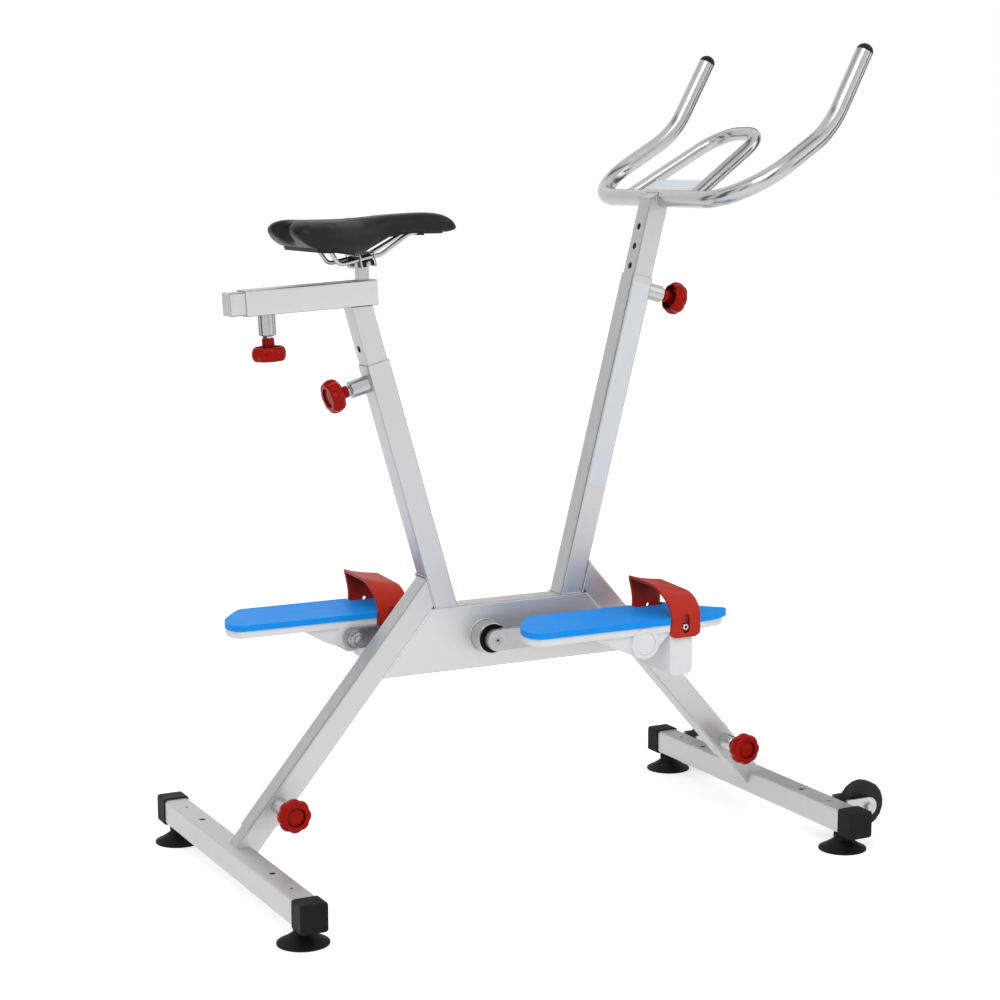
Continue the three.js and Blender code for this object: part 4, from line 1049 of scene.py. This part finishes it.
def arc(centre, radius, start, end, steps):
    points = []
    for step in range(steps + 1):
        angle = math.radians(start + (end - start) * step / steps)
        points.append((centre[0] + radius * math.cos(angle), centre[1] + radius * math.sin(angle)))
    return points


def line_between(start, end, steps):
    """Points evenly from one pair to another, the last one left out."""
    pairs = list(zip(start, end))
    return [tuple(a + (b - a) * i / steps for a, b in pairs) for i in range(steps)]


def strap_line(inset, large_radius):
    """The strap's arch seen from the front, from its left leg's foot to its right leg's."""
    small = (pedal_half - strap_small, strap_top - strap_small)
    large = (large_radius - pedal_half, strap_top - large_radius)
    left = pedal_half - inset
    top = strap_top - inset
    up = line_between((left, strap_bottom), (left, small[1]), strap_leg_steps)
    over = arc(small, strap_small - inset, 0, 90, strap_steps)
    crown = line_between((small[0], top), (large[0], top), strap_leg_steps)[1:]
    round_over = arc(large, large_radius - inset, 90, 180, 2 * strap_steps)
    down = line_between((-left, strap_bottom), (-left, large[1]), strap_leg_steps)[::-1]
    return up + over + crown + round_over + down


def strap_skin(inset):
    """One face of the strap: rounded feet, a flared rear edge, and an arch that widens and falls."""
    columns = []
    for k in range(strap_steps + 1):
        share = k / strap_steps
        large_radius = strap_large_rear + (strap_large_front - strap_large_rear) * share
        column = []
        for y, z in strap_line(inset, large_radius):
            drop = max(0, strap_corner - (z - strap_bottom))
            pull = strap_corner - math.sqrt(max(0, strap_corner ** 2 - drop ** 2))
            climb = (z - strap_bottom) / (strap_top - strap_bottom)
            waist = strap_waist * math.sin(math.pi * climb) ** 2 - strap_flare * climb ** 6
            rear = strap_start + pull + waist
            x = rear + (strap_end - pull - rear) * share
            lift = strap_flare * (1 - share) ** 3 * climb ** 4
            far = 0.5 + y / (2 * pedal_half)
            fall = strap_fall * share * (1 - far / 2) * climb ** 2
            column.append(Vector((x, y, z + lift * far - fall)))
        columns.append(column)
    return columns


def sheet_between(name, outer, inner):
    """A closed sheet between two grids of the same size."""
    rows, columns = len(outer), len(outer[0])
    offset = rows * columns
    faces = []

    def wall(a, b):
        faces.append((a, b, offset + b, offset + a))

    for r in range(rows - 1):
        for c in range(columns - 1):
            a = r * columns + c
            face = (a, a + 1, a + columns + 1, a + columns)
            faces.append(face)
            faces.append(tuple(offset + i for i in reversed(face)))
        wall(r * columns, (r + 1) * columns)
        wall((r + 1) * columns - 1, (r + 2) * columns - 1)
    for c in range(columns - 1):
        wall(c, c + 1)
        wall(offset - columns + c, offset - columns + c + 1)
    return mesh_piece(name, [point for row in outer + inner for point in row], faces)


def slot_cutter():
    """The strap's long recess, cut into its right leg from outside."""
    half = slot_width / 2
    outline = arc((slot_x, slot_high - half), half, 0, 180, slot_steps)
    outline += arc((slot_x, slot_low + half), half, 180, 360, slot_steps)
    reach = (-pedal_half - strap_thickness, -pedal_half + slot_depth)
    return ringed("slot_cutter", [[Vector((x, y, z)) for x, z in outline] for y in reach])


def foot_strap(name):
    piece = sheet_between(f"{name}_foot_strap_form", strap_skin(0), strap_skin(strap_thickness))
    hole = facing((strap_hole_x, 0, strap_hole_height), 1)
    peep = facing((slot_x, 0, strap_hole_height), -1)
    cut_away(
        piece,
        slot_cutter(),
        rod("hole_cutter", hole, strap_hole_radius, 0, 2 * pedal_half),
        rod("peep_cutter", peep, peep_radius, 0, 2 * pedal_half),
    )
    return rounded_edges(piece, strap_round)


def in_slot(name, profile, segments=slot_segments):
    """A round piece on the floor of the strap's recess: the screw, or a dark disc of painted shade."""
    floor = -pedal_half + slot_depth - gap
    return turned(name, profile, facing((slot_x, floor, strap_screw_height), -1), segments)


def strap_bolt(name):
    head = strap_screw_head
    profile = [
        (0, 0),
        (strap_screw_radius, 0),
        (strap_screw_radius, head - fine_round),
        (strap_screw_radius - fine_round, head),
        (strap_socket_radius, head),
        (strap_socket_radius, head - fine_round),
        (0, head - fine_round),
    ]
    return in_slot(f"{name}_strap_bolt", profile)


def strap_shadow_disc(name):
    """A dark disc of painted shadow on the recess's floor, round and under the screw's head."""
    return in_slot(f"{name}_strap_shadow_disc", disc(slot_width / 2 - gap, 0, fine_round))


def strap_socket_shade(name):
    """A dark plug of painted shade in the screw's socket."""
    low, high = strap_screw_head - 2 * fine_round, strap_screw_head - fine_round / 2
    return in_slot(f"{name}_strap_socket_shade", disc(strap_socket_radius, low, high), small_segments)


# The foot pad seen from above, as shares of its reach and half width
pad_reach = 202 * mm
pad_heel_shares = [
    (-0.7, 1), (-0.76, 0.83), (-0.91, 0.2), (-0.97, -0.15),
    (-1, -0.5), (-0.985, -0.8), (-0.935, -0.97), (-0.85, -1),
]
pad_toe_shares = [
    (0.545, -1), (0.7, -0.95), (0.78, -0.83), (0.805, -0.62),
    (0.755, -0.3), (0.69, 0.1), (0.63, 0.45), (0.58, 0.75), (0.53, 1),
]
pad_toe_tip = 3
pad_top = 35.5 * mm
pad_thickness = 9.5 * mm
pad_notch = 18 * mm
pad_curve_steps = 8
pad_slice = 8 * mm
pad_edge_round = 3.2 * mm
pad_lift = 4 * mm
pad_lift_start = 104 * mm
pad_dip = 1.6 * mm
plate_inset = 2 * mm
plate_thickness = 9 * mm
body_round = 2 * mm
spindle_nut_end = 40.7 * mm
spindle_end_radius = 6 * mm
thread_turns = 3
thread_pitch = 1.1 * mm
thread_depth = 0.4 * mm


def curve_through(shares, inset=0):
    """A smooth line through places given in shares of the pad, moved in by an inset."""
    points = [Vector((x * pad_reach - inset, y * pedal_half - inset)) for x, y in shares]
    line = []
    for i in range(len(points) - 1):
        a, b, c = points[max(i - 1, 0)], points[i], points[i + 1]
        d = points[min(i + 2, len(points) - 1)]
        for step in range(pad_curve_steps):
            t = step / pad_curve_steps
            line.append(
                b + (c - a) * t / 2 + (2 * a - 5 * b + 4 * c - d) * t ** 2 / 2
                + (3 * b - a - 3 * c + d) * t ** 3 / 2
            )
    return line + [points[-1]]


def slab(name, outline, low, high):
    return ringed(name, [[Vector((*point, z)) for point in outline] for z in (low, high)])


def pad_outline():
    low, high = strap_start - gap, strap_end + gap
    leg = pedal_half - strap_thickness - gap
    deep = pedal_half - pad_notch
    near = [(low, -pedal_half), (low, -leg), (high, -leg), (high, -pedal_half)]
    far = [(high, pedal_half), (high, deep), (low, deep), (low, pedal_half)]
    return curve_through(pad_heel_shares) + near + curve_through(pad_toe_shares) + far


def toe_cutter():
    """What the pedal's plate loses ahead of the strap, where the pad narrows towards its toe."""
    side = pedal_half + plate_inset
    outline = curve_through(pad_toe_shares[pad_toe_tip:], plate_inset)
    outline += [(strap_end, side), (pad_reach, side)]
    outline.append((pad_reach, pad_toe_shares[pad_toe_tip][1] * pedal_half))
    low = pad_top - pad_thickness - 2 * plate_inset - plate_thickness
    return slab("toe_cutter", outline, low, pad_top)


def foot_pad(name):
    """The pad with rounded edges, a slight dip under the sole and a lifted toe."""
    piece = slab(f"{name}_foot_pad_form", pad_outline(), pad_top - pad_thickness, pad_top)
    shape = bmesh.new()
    shape.from_mesh(piece.data)
    for i in range(1, int(2 * pad_reach / pad_slice)):
        every = shape.verts[:] + shape.edges[:] + shape.faces[:]
        place = (-pad_reach + i * pad_slice, 0, 0)
        bmesh.ops.bisect_plane(shape, geom=every, plane_co=place, plane_no=(1, 0, 0))
    shape.to_mesh(piece.data)
    shape.free()
    rounded_edges(piece, pad_edge_round, 4)
    toe_reach = pad_reach * max(x for x, y in pad_toe_shares) - pad_lift_start
    for vertex in piece.data.vertices:
        share = max(0, (vertex.co.x - pad_lift_start) / toe_reach)
        dip = math.cos(math.pi * vertex.co.x / (2 * pad_reach)) ** 2
        vertex.co.z += pad_lift * share ** 2 - pad_dip * dip * (1 - (vertex.co.y / pedal_half) ** 2)
    return weighted(piece)


def spindle_end(name, side):
    """The threaded end of a pedal spindle, proud of its nut on the crank's inner side."""
    profile = [(0, -fine_round), (spindle_end_radius, -fine_round)]
    for i in range(thread_turns):
        height = i * thread_pitch
        profile.append((spindle_end_radius - thread_depth, height))
        profile.append((spindle_end_radius, height + thread_pitch / 2))
    top = thread_turns * thread_pitch
    profile += [(spindle_end_radius - thread_depth * 2, top), (0, top)]
    matrix = facing((0, side * (spindle_nut_end - pedal_from_middle), 0), -side)
    return turned(f"{name}_spindle_end", profile, matrix, rod_segments)


def at_pedal(piece, side):
    pedal_x = crank_x - side * crank_length
    piece.data.transform(Matrix.Translation((pedal_x, side * pedal_from_middle, crank_height)))
    piece.data.update()
    return piece


def add_pedals():
    for name, side in side_names.items():
        refined(f"{name}_pedal_body", body_round, 4, cutters=[at_pedal(toe_cutter(), side)])
        refined(f"{name}_pedal_hub_cap", fine_round, 3)
        pad = attach(at_pedal(foot_pad(name), side), f"{name}_foot_pad")
        attach(at_pedal(foot_strap(name), side), f"{name}_foot_strap")
        add_to(at_pedal(spindle_end(name, side), side), f"{name}_pedal_spindle", "polished_steel")
        add_to(at_pedal(strap_bolt(name), side), f"{name}_pedal_body", "polished_steel")
        # Black discs of painted shade: in the screw's socket, and round its head in the recess
        for piece in (strap_socket_shade(name), strap_shadow_disc(name)):
            add_to(at_pedal(piece, side), f"{name}_pedal_body", "black_rubber")


# Feet
foot_top = 70 * mm
foot_x = {"rear": -513.5 * mm, "front": 447.3 * mm}
foot_round = 1 * mm
# Holes in a bar's top wall, as distance from the middle and radius
foot_holes = [(155.5 * mm, 4.8 * mm), (232.5 * mm, 2.2 * mm)]
cup_from_middle = 275.7 * mm
cup_radius = 39.5 * mm
cup_neck_radius = 15 * mm
cup_neck_start = 17 * mm
cup_neck_top = 27 * mm
cup_lip = 2.4 * mm
cup_skirt = 3 * mm
cup_ridge = 0.5 * mm
cup_curve = 1.25
cup_steps = 14
cup_segments = 56


def foot_bar(end):
    """A foot bar with its spare bolt holes and screw holes in the top wall."""
    low, high = foot_top - 2 * tube_wall, foot_top + tube_wall
    cutters = []
    for side in side_names.values():
        for half, radius in foot_holes:
            matrix = Matrix.Translation((foot_x[end], side * half, 0))
            cutters.append(rod("hole_cutter", matrix, radius, low, high))
    refined(f"{end}_foot", foot_round, cutters=cutters)


def suction_cup(end, name, side):
    """A soft cup: thin lip, hollow skirt with faint ridges, and a neck under the bar."""
    fall = cup_radius - cup_neck_radius
    climb = cup_neck_start - cup_lip
    outer = []
    inner = []
    for step in range(cup_steps + 1):
        share = step / cup_steps
        radius = cup_radius - fine_round - share * (fall - fine_round)
        height = cup_lip + climb * share ** cup_curve
        outer.append((radius, height + cup_ridge * (step % 2)))
        inner.append((max(radius - cup_skirt / 2, 0), max(height - cup_skirt, 0)))
    profile = [
        (0, inner[-1][1]),
        *reversed(inner),
        (cup_radius - cup_skirt / 2, 0),
        (cup_radius, 0),
        (cup_radius, cup_lip - fine_round),
        *outer,
        (cup_neck_radius, cup_neck_top - fine_round),
        (cup_neck_radius - fine_round, cup_neck_top),
        (0, cup_neck_top),
    ]
    matrix = Matrix.Translation((foot_x[end], side * cup_from_middle, 0))
    return turned(f"{end}_{name}_cup_form", profile, matrix, cup_segments)


def add_feet():
    for end in foot_x:
        foot_bar(end)
        for name, side in side_names.items():
            refined(f"{end}_{name}_cap", foot_round, 3)
            attach(suction_cup(end, name, side), f"{end}_{name}_suction_cup")
    for name in side_names:
        refined(f"{name}_wheel", fine_round)
        refined(f"{name}_wheel_bolt", fine_round)


# Saddle
pivot = Vector((-251.5 * mm + shift, 0, 972 * mm))
rail_angle = 11.7
rail_above_pivot = 9 * mm
rail_radius = 3.5 * mm
rail_half = 22 * mm
rail_tail = (-66.5 * mm, 24 * mm, 28 * mm)
rail_knees = (-47 * mm, 26 * mm)
rail_entry = (76 * mm, 11 * mm, 45 * mm)
rail_nose = (99 * mm, 9 * mm, 47 * mm)
rail_bends = [14 * mm, 25 * mm, 25 * mm, 8.5 * mm]
rail_bend_steps = 10
clamp_half_length = 13 * mm
clamp_half_width = 29 * mm
clamp_below = 6 * mm
clamp_above = 16.5 * mm
clamp_plate = 2.2 * mm
clamp_frame = 2.4 * mm
loop_round = 0.6 * mm
block_round = 0.8 * mm
clamp_bolt_radius = 3 * mm
clamp_bolt_head = 4 * mm
clamp_bolt_side = 1.2 * mm
clamp_bolt_dome = 2 * mm
pillar_half_width = 6.75 * mm
pillar_top = 9.5 * mm
pillar_round = 1.2 * mm
cover_voxel = 3.4 * mm
cover_swell = 1.4 * mm
cover_pressure = 4
cloth_frames = 20
shell_reach = 40 * mm
lobe_run = 48 * mm
lobe_rise = 17 * mm
lobe_curve = 1.3
least_step = 1e-9
tilt = Matrix.Translation(pivot) @ Matrix.Rotation(math.radians(-rail_angle), 4, "Y")


def rail_path():
    halves = []
    for side in side_names.values():
        tail, entry, nose = (
            pivot + Vector((x, side * half, rise))
            for x, half, rise in (rail_tail, rail_entry, rail_nose)
        )
        knees = [tilt @ Vector((knee, side * rail_half, rail_above_pivot)) for knee in rail_knees]
        halves.append([tail, *knees, entry, nose])
    return bent_path(halves[0] + halves[1][::-1], rail_bends + rail_bends[::-1], rail_bend_steps)


def clamp_loop(name, start, end):
    """A thin bright plate round both rails, square to them."""
    y, low, high = clamp_half_width, -clamp_below, clamp_above
    inset = clamp_frame
    outer = rectangle(-y, y, low, high)
    inner = rectangle(inset - y, y - inset, low + inset, high - inset)
    rings = [
        [tilt @ Vector(point) for point in ((start, *a), (end, *a), (end, *b), (start, *b))]
        for a, b in zip(outer, inner)
    ]
    return ringed(name, rings, closed=True)


def clamp_block(name, half_length, near, far, low, high):
    outline = rectangle(near, far, low, high)
    reach = (-half_length, half_length)
    return ringed(name, [[tilt @ Vector((x, *point)) for point in outline] for x in reach])


def add_clamp():
    inner = clamp_half_length - clamp_plate
    reach = clamp_half_length + clamp_plate
    opening = pillar_half_width + 3 * gap
    for name, sign in ends.items():
        start, end = sorted((sign * inner, sign * clamp_half_length))
        loop = clamp_loop(f"clamp_loop_{name}", start, end)
        cut_away(loop, clamp_block("loop_cutter", reach, -opening, opening, -2 * clamp_below, 0))
        attach(rounded_edges(loop, loop_round), "saddle_clamp")
    rail_low = rail_above_pivot - rail_radius - gap
    rail_inner = rail_half - rail_radius - gap
    half = inner - gap
    low, high = clamp_frame - clamp_below, clamp_above - clamp_frame
    lower = clamp_half_width - clamp_frame - gap
    blocks = [clamp_block("clamp_top", half, -rail_inner, rail_inner, pillar_top + gap, high)]
    for side in side_names.values():
        near, far = sorted((side * (pillar_half_width + gap), side * lower))
        blocks.append(clamp_block(f"clamp_side_{side}", half, near, far, low, rail_low))
    for block in blocks:
        add_to(rounded_edges(block, block_round), "saddle_clamp", "black_plastic")


def add_clamp_bolt():
    """The pivot bolt through the clamp, with a small domed head at each end."""
    end = clamp_half_width - clamp_frame
    half = [
        (clamp_bolt_radius, end - gap),
        (clamp_bolt_head, end - gap),
        (clamp_bolt_head, end + clamp_bolt_side),
        (clamp_bolt_head / 2, end + clamp_bolt_dome),
        (0, end + clamp_bolt_dome),
    ]
    bolt = turned("clamp_bolt_form", mirrored(half) + half, facing(pivot, 1), small_segments)
    attach(bolt, "saddle_clamp_bolt")


def swollen(piece, held, swell):
    """Cloth filled with air, its held points kept, no point moved further than the swell."""
    rest = [vertex.co.copy() for vertex in piece.data.vertices]
    group = piece.vertex_groups.new(name="held")
    group.add([i for i, place in enumerate(rest) if held(place)], 1, "REPLACE")
    cloth = piece.modifiers.new("cloth", "CLOTH")
    cloth.settings.use_pressure = True
    cloth.settings.uniform_pressure_force = cover_pressure
    cloth.settings.effector_weights.gravity = 0
    cloth.settings.vertex_group_mass = "held"
    scene = bpy.context.scene
    for step in range(1, cloth_frames + 1):
        scene.frame_set(step)
    graph = bpy.context.evaluated_depsgraph_get()
    moved = [vertex.co.copy() for vertex in piece.evaluated_get(graph).data.vertices]
    piece.modifiers.clear()
    for vertex, before, after in zip(piece.data.vertices, rest, moved):
        step = after - before
        vertex.co = before + step * min(1, swell / max(step.length, least_step))
    scene.frame_set(1)


def raise_lobes(piece):
    """Lifts the cover's lower edge towards its rear end, and keeps its top."""
    low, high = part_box("saddle_pad")
    for vertex in piece.data.vertices:
        behind = (low.x + lobe_run - vertex.co.x) / lobe_run
        if behind > 0:
            below = min(1, max(0, (high.z - vertex.co.z) / (high.z - low.z)))
            vertex.co.z += lobe_rise * min(1, behind) ** lobe_curve * below


def saddle_cover():
    piece = link_object("saddle_cover_form", frame["nodes"]["saddle_pad"].data.copy())
    modified(piece, "REMESH", mode="VOXEL", voxel_size=cover_voxel)
    modified(piece, "SMOOTH", factor=0.5, iterations=6)
    low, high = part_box("saddle_shell")

    def held(place):
        inside = abs(place.y) < high.y and low.x < place.x < high.x
        return inside and place.z < high.z and place.z < pivot.z + shell_reach

    swollen(piece, held, cover_swell)
    modified(piece, "SMOOTH", factor=0.5, iterations=3)
    raise_lobes(piece)
    modified(piece, "SUBSURF", levels=1)
    piece.data.shade_smooth()
    return piece


def add_saddle():
    refined("saddle_pillar", pillar_round, 3)
    add_clamp()
    add_clamp_bolt()
    attach(swept("saddle_rails_form", rail_path(), rail_radius, small_segments), "saddle_rails")
    refined("saddle_shell", fine_round)
    cover = attach(saddle_cover(), "saddle_pad")


# Floor, sky and the dark boards that the bright metal reflects
floor_size = 60
floor_drop = 0.2 * mm
floor_glow = 0.45
floor_tones = ((0.8, 0.8, 0.8), (0.82, 0.82, 0.82))
board_tones = ((0.04, 0.04, 0.042), (0.07, 0.07, 0.073))
dull = 0.9
world_light = 0.75
world_seen = 1
# Boards round the bike, as name: compass angle from X, distance, width, height, middle height
flags = {
    "flag_right": (8, 2.6, 1.1, 2.4, 1.4),
    "flag_ahead_left": (50, 3.4, 1.3, 2, 1.7),
    "flag_left": (136, 3.2, 0.9, 2.6, 1.6),
    "flag_rear": (176, 2.6, 1, 2.6, 1.5),
    "flag_rear_right": (216, 2.6, 0.5, 2.2, 1.8),
    "flag_camera": (262, 3.4, 0.8, 2.2, 1.7),
    "flag_side": (326, 3, 0.8, 2.4, 1.6),
}
# Strips overhead, as name: place along X, width, length across
strip_height = 3.6
strips = {"strip_ahead": (0.9, 0.5, 5), "strip_behind": (-1.3, 0.4, 5)}


def plane_mesh(name, width, height):
    mesh = bpy.data.meshes.new(name)
    corners = rectangle(-width / 2, width / 2, -height / 2, height / 2)
    mesh.from_pydata([(*corner, 0) for corner in corners], [], [(0, 1, 2, 3)])
    return mesh


def ray_kind(look, first, *others):
    """One for a ray of any of these kinds, and nothing for the rest."""
    kinds = add_node(look, "LightPath").outputs
    share = kinds[f"Is {first} Ray"]
    for kind in others:
        share = math_node(look, "MAXIMUM", share, kinds[f"Is {kind} Ray"])
    return share


def dull_look(name, tones, scale, **values):
    look, shader = shader_tree(name, Roughness=dull, **values)
    tone = colour_ramp(look, noise_on(look, place_on(look), scale), *tones)
    connect(look, tone, shader.inputs["Base Color"])
    return look, shader


def floor_look():
    """A pale floor that glows a little to the camera and in reflections."""
    look, shader = dull_look("floor", floor_tones, scale=3, Emission_Color=(1, 1, 1, 1))
    seen = ray_kind(look, "Camera", "Glossy")
    glow = math_node(look, "MULTIPLY", seen, floor_glow)
    connect(look, glow, shader.inputs["Emission Strength"])
    return look


def add_world():
    world = bpy.data.worlds.new("studio")
    bpy.context.scene.world = world
    world.use_nodes = True
    world.node_tree.nodes.clear()
    seen = ray_kind(world, "Camera", "Glossy", "Transmission")
    background = add_node(world, "Background", Color=(1, 1, 1, 1))
    strength = ramp(world, seen, world_light, world_seen, start=0, end=1)
    connect(world, strength, background.inputs["Strength"])
    output = add_node(world, "OutputWorld")
    connect(world, background.outputs["Background"], output.inputs["Surface"])


def add_board(name, width, height, look):
    """A dark board that only reflections show."""
    board = link_object(name, plane_mesh(name, width, height))
    board.data.materials.append(look)
    board.visible_camera = False
    board.visible_shadow = False
    board.visible_diffuse = False
    return board


def add_surroundings():
    floor = link_object("floor", plane_mesh("floor", floor_size, floor_size))
    floor.location.z = -floor_drop
    floor.data.materials.append(floor_look())
    add_world()
    for name in lamps:
        add_lamp(name)
    look, shader = dull_look("flag", board_tones, scale=4)
    for name, (angle, distance, width, height, middle) in flags.items():
        turn = math.radians(angle)
        place = Vector((distance * math.cos(turn), distance * math.sin(turn), middle))
        inward = Vector((0, 0, middle)) - place
        flag = add_board(name, height, width, look)
        flag.matrix_world = aimed(place, inward, Vector((0, 0, 1)).cross(inward))
    for name, (ahead, width, length) in strips.items():
        strip = add_board(name, width, length, look)
        strip.location = (ahead, 0, strip_height)


add_camera()
add_surroundings()
add_tubes()
add_label()
add_knobs()
add_handlebar()
add_crank_set()
add_pedals()
add_feet()
add_welds()
add_saddle()

bpy.context.scene.view_settings.view_transform = "Standard"
